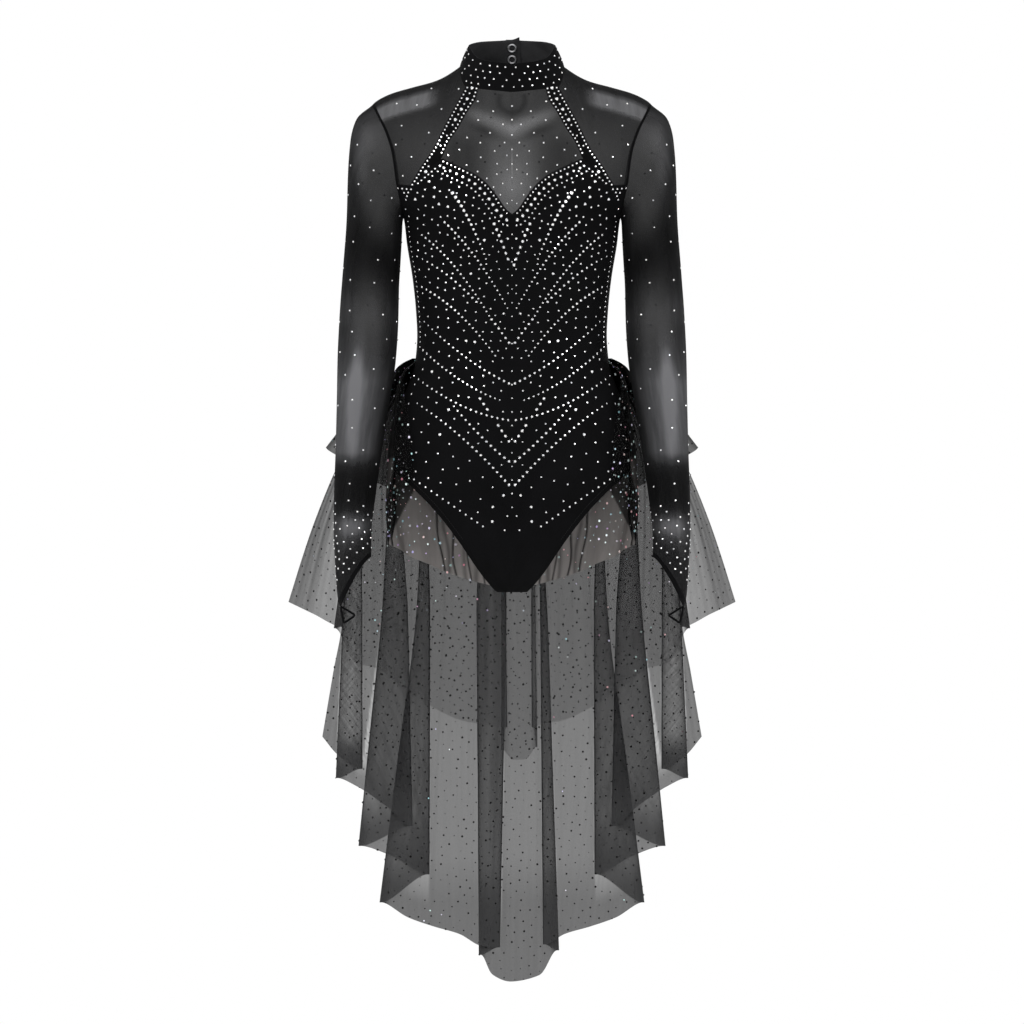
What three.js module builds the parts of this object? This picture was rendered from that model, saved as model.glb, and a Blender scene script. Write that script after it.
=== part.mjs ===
// A long-sleeved figure skating dress with a high-low tulle skirt, as it hangs on an upright wearer.
// Millimetres. The origin is midway between the two points where the neck meets the shoulders.
// X runs to the wearer's left, Y to the wearer's back and Z up.
import * as THREE from "three";

// Driving dimensions
const CLOTH = 1.2; // wall of the bodice, mesh and sleeves
const TULLE = 1; // wall of one skirt tier
const SEAM_PULL = 0.18; // each sewn edge stops this far short of its seam
const TIER_STEP = 1.5; // each tier sits this much further out and up at the waist
const SHOULDER_ROUND = 80; // height over which the chest and back curve in to the shoulder line
const NECK_HALF = 68.6; // half the width of the neck seam
const COLLAR_HALF = 57; // half the width of the collar's top edge
const COLLAR_DEPTH = 50; // half the depth of the collar's top edge
const COLLAR_FORWARD = -6; // middle of the collar's top edge
const LAP_STEP = 3.2; // the inner end of the collar lies this far inside the outer one
const SLIT_GAP = 2; // gap at the centre-back opening
const CROTCH_Z = -671;
const HIP_Z = -511; // top of the leg opening
const ARMHOLE_TOP = { x: 183.4, z: -33.4 };
const UNDERARM = { x: 142, z: -181 };
const ARM_STEPS = 11; // seam points from the shoulder to the underarm
const SNAP_HEIGHTS = [44, 29, 14.4];
const SNAP_RADIUS = 4.9;
const SNAP_WIRE = 1.1;
const SNAP_CLEAR = 0.8; // the collar is hollow behind a flat ring
const CAP_RADIUS = 5.5;
const CAP_THICK = 1;
const LOOP_RADIUS = 0.85; // finger loop cord

// Small helpers for curves and tables
const mix = (a, b, share) => a + (b - a) * share;
const radians = (degrees) => (degrees * Math.PI) / 180;

// A smooth line through one column of a table against another, which never swings past its rows.
function smooth(rows, along, column) {
  const sorted = [...rows].sort((a, b) => a[along] - b[along]);
  const at = sorted.map((row) => row[along]);
  const value = sorted.map((row) => row[column]);
  const rise = at.slice(1).map((a, i) => (value[i + 1] - value[i]) / (a - at[i]));
  const slope = at.map((_, i) => {
    if (i === 0) return rise[0];
    if (i === at.length - 1) return rise[i - 1];
    if (rise[i - 1] * rise[i] <= 0) return 0;
    return (2 * rise[i - 1] * rise[i]) / (rise[i - 1] + rise[i]);
  });
  return (place) => {
    const p = Math.min(Math.max(place, at[0]), at[at.length - 1]);
    let i = 0;
    while (i < at.length - 2 && p > at[i + 1]) i += 1;
    const width = at[i + 1] - at[i];
    const t = (p - at[i]) / width;
    const bend = t * (1 - t) * width;
    return (
      mix(value[i], value[i + 1], t * t * (3 - 2 * t)) + bend * ((1 - t) * slope[i] - t * slope[i + 1])
    );
  };
}

// A smooth path through flat points, by the share of its length.
function path(points) {
  const rows = [{ d: 0, x: points[0].x, z: points[0].z }];
  for (let i = 1; i < points.length; i += 1) {
    const step = Math.hypot(points[i].x - points[i - 1].x, points[i].z - points[i - 1].z);
    rows.push({ d: rows[i - 1].d + step, x: points[i].x, z: points[i].z });
  }
  const length = rows[rows.length - 1].d;
  const x = smooth(rows, "d", "x");
  const z = smooth(rows, "d", "z");
  return (share) => ({ x: x(share * length), z: z(share * length) });
}

// The torso: half width, and how far front and back stand from the side seams.
const TORSO = [
  { z: 60, half: 205, front: 40, back: 45 },
  { z: 20, half: 203, front: 52, back: 58 },
  { z: -20, half: 202, front: 63, back: 72 },
  { z: -60, half: 197, front: 79, back: 89 },
  { z: -93, half: 190, front: 90, back: 98 },
  { z: -133, half: 175, front: 96, back: 103 },
  { z: -160, half: 158, front: 98, back: 102 },
  { z: -181, half: 142, front: 98, back: 98 },
  { z: -215, half: 137.6, front: 93, back: 92 },
  { z: -262, half: 130, front: 90, back: 84 },
  { z: -300, half: 126, front: 86, back: 80 },
  { z: -335, half: 124.2, front: 84, back: 80 },
  { z: -369, half: 126.8, front: 88, back: 90 },
  { z: -420, half: 143, front: 97, back: 106 },
  { z: -470, half: 152.5, front: 102, back: 116 },
  { z: -511, half: 156, front: 102, back: 118 },
  { z: -560, half: 156, front: 96, back: 112 },
  { z: -610, half: 152, front: 82, back: 95 },
  { z: -645, half: 148, front: 58, back: 66 },
  { z: -662, half: 146, front: 33, back: 36 },
  { z: -669, half: 145, front: 12, back: 13 },
  { z: -671, half: 145, front: 0, back: 0 },
];
const SHOULDER = [
  { x: 0, z: 60 },
  { x: 40, z: 46 },
  { x: 68.6, z: 17 },
  { x: 99, z: -1 },
  { x: 131, z: -10 },
  { x: 158, z: -18 },
  { x: 177, z: -27.5 },
  { x: 183.4, z: -33.4 },
  { x: 205, z: -70 },
];
const CUP = { x: 62, z: -172, wide: 40, tall: 44, out: 16 };
const torsoHalf = smooth(TORSO, "z", "half");
const torsoFront = smooth(TORSO, "z", "front");
const torsoBack = smooth(TORSO, "z", "back");
const shoulderZ = smooth(SHOULDER, "x", "z");

// The square of the depth of the front or back at a place, negative outside the outline.
function depthSquared(x, z, back) {
  const across = Math.abs(x) / torsoHalf(z);
  const cup = Math.exp(-(((Math.abs(x) - CUP.x) / CUP.wide) ** 2) - ((z - CUP.z) / CUP.tall) ** 2);
  const deep = back ? torsoBack(z) : torsoFront(z) + CUP.out * cup;
  const below = Math.min((shoulderZ(Math.abs(x)) - z) / SHOULDER_ROUND, 1);
  return deep * deep * (1 - across * across) * (1 - (1 - below) ** 2);
}

function onTorso(x, z, back) {
  const depth = Math.sqrt(Math.max(depthSquared(x, z, back), 0));
  const y = back ? depth : -depth;
  const reach = 0.05;
  const across = depthSquared(x + reach, z, back) - depthSquared(x - reach, z, back);
  const up = depthSquared(x, z + reach, back) - depthSquared(x, z - reach, back);
  const out = new THREE.Vector3(-across / (2 * reach), 2 * y, -up / (2 * reach)).normalize();
  return { at: new THREE.Vector3(x, y, z), out };
}

// Thin walls from a sheet of points. A sheet has places, faces of four points, and the way out at each place.
function sheetOfGrid(rows, columns, place, { around = false, split = null } = {}) {
  const index = new Map();
  const places = [];
  const number = (row, column) => {
    const wrapped = around ? column % columns : column;
    const key = split ? split(row, wrapped) : row * columns + wrapped;
    if (!index.has(key)) {
      index.set(key, places.length);
      places.push(place(row, wrapped));
    }
    return index.get(key);
  };
  const faces = [];
  const last = around ? columns : columns - 1;
  for (let row = 0; row < rows - 1; row += 1) {
    for (let column = 0; column < last; column += 1) {
      const corners = [
        number(row, column),
        number(row, column + 1),
        number(row + 1, column + 1),
        number(row + 1, column),
      ];
      if (new Set(corners).size === 4) faces.push(corners);
    }
  }
  return { places, faces };
}

function faceNormal(at, face) {
  const first = at[face[2]].clone().sub(at[face[0]]);
  const second = at[face[3]].clone().sub(at[face[1]]);
  return first.cross(second);
}

function wall(sheet, { outward = 0, inward = CLOTH, pull = SEAM_PULL, core = null } = {}) {
  const at = sheet.places.map((p) => (p.at ? p.at.clone() : p.clone()));
  const normal = at.map(() => new THREE.Vector3());
  const edges = new Map();
  for (const face of sheet.faces) {
    const n = faceNormal(at, face);
    face.forEach((corner, i) => {
      normal[corner].add(n);
      const next = face[(i + 1) % 4];
      if (!edges.delete(`${next},${corner}`)) edges.set(`${corner},${next}`, { from: corner, to: next, n });
    });
  }
  normal.forEach((n) => n.normalize());
  let turned = 0;
  if (core) normal.forEach((n, i) => (turned += n.dot(core.clone().sub(at[i]))));
  else sheet.places.forEach((p, i) => (turned -= p.out ? p.out.dot(normal[i]) : 0));
  const flip = turned > 0;
  const outs = sheet.places.map((p, i) => p.out ?? (flip ? normal[i].clone().negate() : normal[i]));
  const inset = at.map(() => []);
  for (const { from, to, n } of edges.values()) {
    const inwards = n.clone().normalize().cross(at[to].clone().sub(at[from])).normalize();
    inset[from].push(inwards);
    inset[to].push(inwards);
  }
  inset.forEach((ways, i) => {
    if (!ways.length) return;
    const sum = ways.reduce((total, way) => total.add(way), new THREE.Vector3());
    const length = Math.max(sum.lengthSq() / ways.length, 0.5);
    at[i].addScaledVector(sum, pull / length);
  });
  const points = [];
  at.forEach((p, i) => points.push(p.clone().addScaledVector(outs[i], outward)));
  at.forEach((p, i) => points.push(p.clone().addScaledVector(outs[i], -inward)));
  const count = at.length;
  const triangles = [];
  const add = (a, b, c) => triangles.push(flip ? [a, c, b] : [a, b, c]);
  for (const [a, b, c, d] of sheet.faces) {
    add(a, b, c);
    add(a, c, d);
    add(a + count, c + count, b + count);
    add(a + count, d + count, c + count);
  }
  for (const { from, to } of edges.values()) {
    add(to, from, from + count);
    add(to, from + count, to + count);
  }
  return bodyOf(points, triangles);
}

function bodyOf(points, triangles) {
  const geometry = new THREE.BufferGeometry();
  const flat = points.flatMap((p) => [p.x, p.y, p.z]);
  geometry.setAttribute("position", new THREE.Float32BufferAttribute(flat, 3));
  geometry.setIndex(triangles.flat());
  geometry.computeVertexNormals();
  return geometry;
}

// A closed ring of cord or wire through the given centres, round or flattened.
function ring(centres, sides, radius, flat = 1) {
  const up = new THREE.Vector3(0, 1, 0);
  const points = [];
  centres.forEach((centre, i) => {
    const before = centres[(i + centres.length - 1) % centres.length];
    const after = centres[(i + 1) % centres.length];
    const along = after.clone().sub(before).normalize();
    const side = new THREE.Vector3().crossVectors(along, up).normalize();
    const over = new THREE.Vector3().crossVectors(side, along).normalize();
    for (let k = 0; k < sides; k += 1) {
      const turn = (2 * Math.PI * k) / sides;
      points.push(
        centre
          .clone()
          .addScaledVector(side, radius * Math.cos(turn))
          .addScaledVector(over, radius * flat * Math.sin(turn)),
      );
    }
  });
  const triangles = [];
  for (let i = 0; i < centres.length; i += 1) {
    const next = (i + 1) % centres.length;
    for (let k = 0; k < sides; k += 1) {
      const beside = (k + 1) % sides;
      const [a, b] = [i * sides + k, i * sides + beside];
      const [c, d] = [next * sides + beside, next * sides + k];
      triangles.push([a, c, b], [a, d, c]);
    }
  }
  return bodyOf(points, triangles);
}

const dress = new THREE.Group();
const materials = {
  knit: new THREE.MeshStandardMaterial({ color: 0x101013, roughness: 0.75 }),
  mesh: new THREE.MeshStandardMaterial({ color: 0x26262a, roughness: 0.8 }),
  tulle: new THREE.MeshStandardMaterial({ color: 0x55555a, roughness: 0.85 }),
  metal: new THREE.MeshStandardMaterial({ color: 0xc8c9cc, roughness: 0.3, metalness: 1 }),
};
function piece(name, material, geometry) {
  const mesh = new THREE.Mesh(geometry, materials[material]);
  mesh.name = name;
  dress.add(mesh);
}
// The same piece for both sides, made from its left-hand place function.
function pair(name, material, make) {
  piece(`${name}_left`, material, make(1));
  piece(`${name}_right`, material, make(-1));
}

// Seams that neighbouring pieces share
const armholeX = smooth(
  [
    { z: -33.4, x: 183.4 },
    { z: -46.8, x: 176.9 },
    { z: -62.9, x: 168.6 },
    { z: -76, x: 163.4 },
    { z: -93.5, x: 158 },
    { z: -113.6, x: 154.6 },
    { z: -133.6, x: 152 },
    { z: -158, x: 147 },
    { z: -181, x: 142 },
  ],
  "z",
  "x",
);
// The armhole, from the shoulder at step 0 to the underarm at step 11.
function armhole(step) {
  const share = (1 - Math.cos((Math.PI * step) / ARM_STEPS)) / 2;
  const z = mix(ARMHOLE_TOP.z, UNDERARM.z, share);
  if (step === 0) return { ...ARMHOLE_TOP };
  return step === ARM_STEPS ? { ...UNDERARM } : { x: armholeX(z), z };
}
const neckZ = smooth(
  [
    { turn: 0, z: -17.7 },
    { turn: 30, z: -14.2 },
    { turn: 60, z: -11 },
    { turn: 76, z: 2 },
    { turn: 90, z: 17 },
    { turn: 112, z: 17 },
    { turn: 135, z: 12 },
    { turn: 157, z: 8 },
    { turn: 180, z: 6 },
  ],
  "turn",
  "z",
);
// The neck seam, by the turn in degrees from the centre front to the centre back.
const neck = (turn) => ({ x: NECK_HALF * Math.sin(radians(turn)), z: neckZ(turn) });
const NECK_YOKE = [0, 3.3, 10.2, 20.4, 30.2, 40];
const NECK_STRAP = [40, 47.3, 54.7, 62];
const NECK_SIDE = [62, 76, 90];
const NECK_BACK = [180, 157, 135, 112, 90];
const SHOULDER_STEPS = [84, 104, 128, 155];
const shoulderSeam = [
  ...SHOULDER_STEPS.map((x) => ({ x, z: shoulderZ(x) })),
  { ...ARMHOLE_TOP },
];
const STRAP_STEPS = [0, 0.06, 0.16, 0.3, 0.46, 0.64, 0.82, 1];
const strapOuter = path([
  neck(62),
  { x: 85.8, z: -57.5 },
  { x: 103, z: -92.2 },
  { x: 117.9, z: -113.6 },
  { x: 129.8, z: -133.6 },
  { x: 134, z: -139.6 },
]);
const strapInner = path([
  neck(40),
  { x: 47.7, z: -25.4 },
  { x: 60.4, z: -46.1 },
  { x: 71, z: -65.5 },
  { x: 81.7, z: -81.5 },
  { x: 92, z: -104 },
]);

// The bodice top edge: from the armhole across the foot of the strap to the sweetheart neckline.
const BODICE_TOP = armhole(7);
const TOP_SHARES = [0, 0.05, 0.155, 0.31, 0.46, 0.609, 0.7, 0.8, 0.887, 0.94, 0.985, 1];
const sweetheart = smooth(
  [
    { x: 0, z: -177.5 },
    { x: 7.7, z: -171 },
    { x: 19.8, z: -153.4 },
    { x: 33, z: -137.4 },
    { x: 47.8, z: -125.5 },
    { x: 61.2, z: -118.7 },
    { x: 85, z: -107.4 },
    { x: 92, z: -104 },
  ],
  "x",
  "z",
);
function bodiceTop(share) {
  const x = BODICE_TOP.x * share;
  if (x <= 92.05) return { x, z: sweetheart(x) };
  if (x <= 134.03) return { x, z: mix(-104, -139.6, (x - 92) / 42) };
  return { x, z: mix(-139.6, BODICE_TOP.z, (x - 134) / (BODICE_TOP.x - 134)) };
}

// A four-sided piece in the flat outline: edges are lists of equal length on opposite sides.
function outlinePatch(leftEdge, rightEdge, topEdge, bottomEdge) {
  const rows = leftEdge.length;
  const columns = topEdge.length;
  const span = (list) => {
    const run = [0];
    for (let i = 1; i < list.length; i += 1)
      run.push(run[i - 1] + Math.hypot(list[i].x - list[i - 1].x, list[i].z - list[i - 1].z));
    return run.map((r) => r / run[run.length - 1]);
  };
  const [down, across] = [span(rightEdge), span(bottomEdge)];
  const blend = (key, row, column) => {
    const [u, v] = [across[column], down[row]];
    const sides = mix(leftEdge[row][key], rightEdge[row][key], u);
    const ends = mix(topEdge[column][key], bottomEdge[column][key], v);
    const high = mix(leftEdge[0][key], rightEdge[0][key], u);
    const low = mix(leftEdge[rows - 1][key], rightEdge[rows - 1][key], u);
    return sides + ends - mix(high, low, v);
  };
  return { rows, columns, at: (row, column) => ({ x: blend("x", row, column), z: blend("z", row, column) }) };
}

// Front yoke of mesh between the straps, above the sweetheart neckline
const mirrored = (p) => ({ x: -p.x, z: p.z });
const bothWays = (list) => [...list.slice(1).reverse().map(mirrored), ...list];
{
  const inner = STRAP_STEPS.map(strapInner);
  const top = bothWays(NECK_YOKE.map(neck));
  const bottom = bothWays(TOP_SHARES.slice(0, 6).map(bodiceTop));
  const flat = outlinePatch(inner.map(mirrored), inner, top, bottom);
  const sheet = sheetOfGrid(flat.rows, flat.columns, (row, column) => {
    const p = flat.at(row, column);
    return onTorso(p.x, p.z, false);
  });
  piece("yoke_front", "mesh", wall(sheet));
}

// Halter straps from the collar to the bodice
pair("halter_strap", "knit", (side) => {
  const foot = TOP_SHARES.slice(5, 9).map(bodiceTop);
  const flat = outlinePatch(
    STRAP_STEPS.map(strapInner),
    STRAP_STEPS.map(strapOuter),
    NECK_STRAP.map(neck),
    foot,
  );
  const sheet = sheetOfGrid(flat.rows, flat.columns, (row, column) => {
    const p = flat.at(row, column);
    return onTorso(side * p.x, p.z, false);
  });
  return wall(sheet);
});

// Mesh of the front shoulders, from the strap to the armhole
pair("shoulder_mesh", "mesh", (side) => {
  const top = [...NECK_SIDE.map(neck), ...shoulderSeam];
  const foot = top.map((_, i) => bodiceTop(mix(134 / BODICE_TOP.x, 1, i / (top.length - 1))));
  const armEdge = STRAP_STEPS.map((_, step) => armhole(step));
  const flat = outlinePatch(STRAP_STEPS.map(strapOuter), armEdge, top, foot);
  const sheet = sheetOfGrid(flat.rows, flat.columns, (row, column) => {
    const p = flat.at(row, column);
    return onTorso(side * p.x, p.z, false);
  });
  return wall(sheet);
});

// Back yoke of mesh, with the centre-back opening below the collar
const BACK_SHARES = [0, 0.12, 0.25, 0.38, 0.5, 0.63, 0.76, 0.88, 0.96, 1];
const BACK_TOP = armhole(8);
const BACK_TOP_MIDDLE = -205;
const backTop = (share) => ({
  x: BACK_TOP.x * share,
  z: mix(BACK_TOP.z, BACK_TOP_MIDDLE, 1 - share * share),
});
{
  const middle = [6, -8, -26, -48, -73, -100, -130, -166, BACK_TOP_MIDDLE];
  const slitRow = 6;
  const top = [...NECK_BACK.map(neck), ...shoulderSeam];
  const flat = outlinePatch(
    middle.map((z) => ({ x: 0, z })),
    middle.map((_, step) => armhole(step)),
    top,
    BACK_SHARES.map(backTop),
  );
  const half = flat.columns;
  const sheet = sheetOfGrid(
    flat.rows,
    2 * half,
    (row, column) => {
      const side = column < half ? -1 : 1;
      const p = flat.at(row, column < half ? half - 1 - column : column - half);
      const open = p.x < 0.01 && row < slitRow ? Math.min(1, (slitRow - row) / 2) * (SLIT_GAP / 2) : 0;
      return onTorso(side * (p.x + open), p.z, true);
    },
    {
      split: (row, column) => {
        const centre = column === half || column === half - 1;
        if (centre && row >= slitRow) return `centre ${row}`;
        return `${row} ${column}`;
      },
    },
  );
  sheet.faces = sheet.faces.filter((face) => {
    const xs = face.map((corner) => sheet.places[corner].at.x);
    return Math.max(...xs) - Math.min(...xs) > 2.5;
  });
  piece("yoke_back", "mesh", wall(sheet));
}

// Bodice and brief, front and back: rows down the side, with the height of each row at its middle
const legX = smooth(
  [
    { z: -511, x: 156 },
    { z: -535.8, x: 128.4 },
    { z: -567.2, x: 98.3 },
    { z: -606.5, x: 68.1 },
    { z: -647, x: 40.6 },
    { z: -663.5, x: 27 },
    { z: -671, x: 19.7 },
  ],
  "z",
  "x",
);
const SIDE_ROWS = [
  { side: -225, middle: -262, fade: 0.22 },
  { side: -270, middle: -292, fade: 0.1 },
  { side: -315, middle: -325, fade: 0.04 },
  { side: -369, middle: -372, fade: 0 },
  { side: -420, middle: -420, fade: 0 },
  { side: -470, middle: -466, fade: 0 },
  { side: -511, middle: -503, fade: 0 },
  { side: -540, middle: -540, fade: 0 },
  { side: -575, middle: -575, fade: 0 },
  { side: -612, middle: -612, fade: 0 },
  { side: -645, middle: -645, fade: 0 },
  { side: -662, middle: -662, fade: 0 },
  { side: CROTCH_Z, middle: CROTCH_Z, fade: 0 },
];
const FRONT_ARM_ROWS = [
  { step: 7, middle: -177.5, fade: 1 },
  { step: 8, middle: -196, fade: 0.82 },
  { step: 9, middle: -213, fade: 0.66 },
  { step: 10, middle: -227, fade: 0.5 },
  { step: 11, middle: -240, fade: 0.36 },
];
const BACK_ARM_ROWS = [
  { step: 8, middle: BACK_TOP_MIDDLE, fade: 1 },
  { step: 9, middle: -218, fade: 0.8 },
  { step: 10, middle: -230, fade: 0.6 },
  { step: 11, middle: -241, fade: 0.4 },
];
function trunk(armRows, shares, topEdge, back) {
  const rows = [
    ...armRows.map((row) => ({ ...row, ...armhole(row.step) })),
    ...SIDE_ROWS.map((row) => ({
      ...row,
      z: row.side,
      x: row.side < HIP_Z ? legX(row.side) : torsoHalf(row.side),
    })),
  ];
  const signed = [...shares.slice(1).reverse().map((s) => -s), ...shares];
  const bow = (row, share) => mix(row.z, row.middle, 1 - share * share);
  const sheet = sheetOfGrid(rows.length, signed.length, (r, column) => {
    const row = rows[r];
    const share = signed[column];
    const size = Math.abs(share);
    const lift = topEdge(size).z - bow(rows[0], size);
    return onTorso(row.x * share, bow(row, size) + lift * row.fade, back);
  });
  return wall(sheet);
}
piece("body_front", "knit", trunk(FRONT_ARM_ROWS, TOP_SHARES, bodiceTop, false));
piece("body_back", "knit", trunk(BACK_ARM_ROWS, BACK_SHARES, backTop, true));

// Collar: one band whose ends lap at the centre back
const collarTopZ = smooth(
  [
    { turn: 0, z: 19.6 },
    { turn: 25, z: 22 },
    { turn: 53, z: 28 },
    { turn: 80, z: 42 },
    { turn: 113, z: 48 },
    { turn: 135, z: 51 },
    { turn: 180, z: 54 },
    { turn: 191, z: 57.5 },
  ],
  "turn",
  "z",
);
const HALF_TURNS = [...NECK_YOKE, ...NECK_STRAP.slice(1), ...NECK_SIDE.slice(1), 112, 135, 157];
const LAP_TURNS = [165, 172, 180, 185, 190.6];
const LAP_OUTER_TURNS = [168, 174, 180, 188];
const collarTurns = [
  ...[...HALF_TURNS.slice(1), ...LAP_TURNS].reverse().map((turn) => -turn),
  ...HALF_TURNS,
  ...LAP_OUTER_TURNS,
];
// A place on the collar: up is 0 at the neck seam and 1 at the top edge.
function collarAt(turn, up) {
  const size = Math.abs(turn);
  const side = Math.sign(turn) || 1;
  const folded = Math.min(size, 360 - size);
  const low = neck(folded);
  const base = onTorso(side * NECK_HALF * Math.sin(radians(size)), low.z, size > 90).at;
  const topZ = side < 0 ? collarTopZ(size) : collarTopZ(Math.min(size, 180));
  const top = new THREE.Vector3(
    side * COLLAR_HALF * Math.sin(radians(size)),
    COLLAR_FORWARD - COLLAR_DEPTH * Math.cos(radians(size)),
    topZ,
  );
  const place = base.clone().lerp(top, up);
  const tucked = side < 0 ? Math.min(Math.max((size - 150) / 15, 0), 1) * LAP_STEP : 0;
  const flat = new THREE.Vector3(Math.sin(radians(size)) * side, -Math.cos(radians(size)), 0);
  return place.addScaledVector(flat, Math.sin(Math.PI * up) - tucked);
}
{
  const heights = [0, 0.5, 1];
  const sheet = sheetOfGrid(heights.length, collarTurns.length, (row, column) =>
    collarAt(collarTurns[column], heights[row]),
  );
  piece("collar", "knit", wall(sheet, { core: new THREE.Vector3(0, 0, 15) }));
}

// Ring snaps through the lapped collar ends: open rings inside, plain caps outside
SNAP_HEIGHTS.forEach((z, i) => {
  const up = (z - neckZ(180)) / (collarTopZ(180) - neckZ(180));
  const inner = collarAt(-180, up);
  const outer = collarAt(180, up);
  const tilt = collarAt(180, up + 0.1).sub(collarAt(180, up - 0.1)).normalize();
  const away = new THREE.Vector3(0, tilt.z, -tilt.y);
  const middle = inner.clone().addScaledVector(away, -(CLOTH + SNAP_CLEAR + SNAP_WIRE * 0.75));
  const centres = Array.from({ length: 16 }, (_, k) => {
    const turn = (2 * Math.PI * k) / 16;
    return middle
      .clone()
      .add(new THREE.Vector3(SNAP_RADIUS * Math.cos(turn), 0, 0))
      .addScaledVector(tilt, SNAP_RADIUS * Math.sin(turn));
  });
  piece(`snap_ring_${i + 1}`, "metal", ring(centres, 6, SNAP_WIRE, 0.75));
  const cap = new THREE.CylinderGeometry(CAP_RADIUS * 0.8, CAP_RADIUS, CAP_THICK, 16);
  const lay = new THREE.Quaternion().setFromUnitVectors(new THREE.Vector3(0, 1, 0), away);
  const seat = outer.clone().addScaledVector(away, 0.45 + CAP_THICK / 2);
  piece(`snap_cap_${i + 1}`, "metal", cap.applyQuaternion(lay).translate(seat.x, seat.y, seat.z));
});

// Sleeves: sections from the armhole to the wrist, each between its outer and its inner edge
const SLEEVE = [
  { outerX: 203.5, outerZ: -51, innerX: 143.3, innerZ: -187, depth: 53, y: 1 },
  { outerX: 211.5, outerZ: -78, innerX: 143.8, innerZ: -197, depth: 50, y: 1 },
  { outerX: 215, outerZ: -124, innerX: 144.6, innerZ: -215, depth: 47, y: 1 },
  { outerX: 216.6, outerZ: -180, innerX: 146, innerZ: -240, depth: 45, y: 1 },
  { outerX: 221.5, outerZ: -248, innerX: 147.8, innerZ: -270, depth: 43, y: 0 },
  { outerX: 226, outerZ: -310, innerX: 148.9, innerZ: -318, depth: 41, y: -1 },
  { outerX: 228.6, outerZ: -366, innerX: 152, innerZ: -366, depth: 38, y: -4 },
  { outerX: 229.6, outerZ: -425, innerX: 160.8, innerZ: -425, depth: 35, y: -9 },
  { outerX: 231, outerZ: -485, innerX: 170.3, innerZ: -485, depth: 31, y: -15 },
  { outerX: 233, outerZ: -545, innerX: 178.5, innerZ: -545, depth: 27, y: -22 },
  { outerX: 233.4, outerZ: -592, innerX: 183.6, innerZ: -588, depth: 24, y: -28 },
];
const WRIST = [
  { outerX: 231, outerZ: -640, innerX: 184, innerZ: -606, depth: 23, y: -31, bow: 1.2 },
  { outerX: 227.6, outerZ: -681, innerX: 184, innerZ: -618.5, depth: 22.5, y: -34, bow: 1.4 },
];
const CUFF_EDGE = [
  WRIST[1],
  { outerX: 224.5, outerZ: -690, innerX: 184, innerZ: -625, depth: 22.5, y: -35, bow: 1.4 },
];
function sleevePlace(side, section, step) {
  const turn = (Math.PI * step) / ARM_STEPS;
  const share = (1 + Math.cos(turn)) / 2;
  return new THREE.Vector3(
    side * mix(section.innerX, section.outerX, share),
    section.y - section.depth * Math.sin(turn),
    mix(section.innerZ, section.outerZ, share ** (section.bow ?? 1)),
  );
}
function armholePlace(side, step) {
  const back = step > ARM_STEPS;
  const p = armhole(back ? 2 * ARM_STEPS - step : step);
  return onTorso(side * p.x, p.z, back).at;
}
pair("sleeve", "mesh", (side) => {
  const sections = [...SLEEVE, ...WRIST];
  const sheet = sheetOfGrid(
    sections.length + 1,
    2 * ARM_STEPS,
    (row, step) => (row === 0 ? armholePlace(side, step) : sleevePlace(side, sections[row - 1], step)),
    { around: true },
  );
  return wall(sheet, { core: new THREE.Vector3(side * 192, -5, -330) });
});
pair("cuff_edge", "knit", (side) => {
  const sheet = sheetOfGrid(
    CUFF_EDGE.length,
    2 * ARM_STEPS,
    (row, step) => sleevePlace(side, CUFF_EDGE[row], step),
    { around: true },
  );
  return wall(sheet, { core: new THREE.Vector3(side * 205, -34, -655) });
});

// Finger loops of thin cord, hung from the point of each cuff
const LOOP_CORNERS = [
  { x: 224.4, z: -689.1, y: -35 },
  { x: 204.6, z: -701, y: -37 },
  { x: 220, z: -711.5, y: -38 },
];
const LOOP_CORNER_SHARE = 0.16;
pair("finger_loop", "knit", (side) => {
  const centres = [];
  LOOP_CORNERS.forEach((corner, i) => {
    const here = new THREE.Vector3(side * corner.x, corner.y, corner.z);
    const [next, last] = [1, 2].map((k) => LOOP_CORNERS[(i + k) % 3]);
    const after = new THREE.Vector3(side * next.x, next.y, next.z);
    const before = new THREE.Vector3(side * last.x, last.y, last.z);
    const start = here.clone().lerp(before, LOOP_CORNER_SHARE);
    const end = here.clone().lerp(after, LOOP_CORNER_SHARE);
    for (const t of [0, 0.33, 0.67, 1]) {
      const bend = start.clone().lerp(here, t).lerp(here.clone().lerp(end, t), t);
      centres.push(bend);
    }
    centres.push(here.clone().lerp(after, 0.5));
  });
  return ring(side > 0 ? centres : centres.reverse(), 6, LOOP_RADIUS);
});

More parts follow.
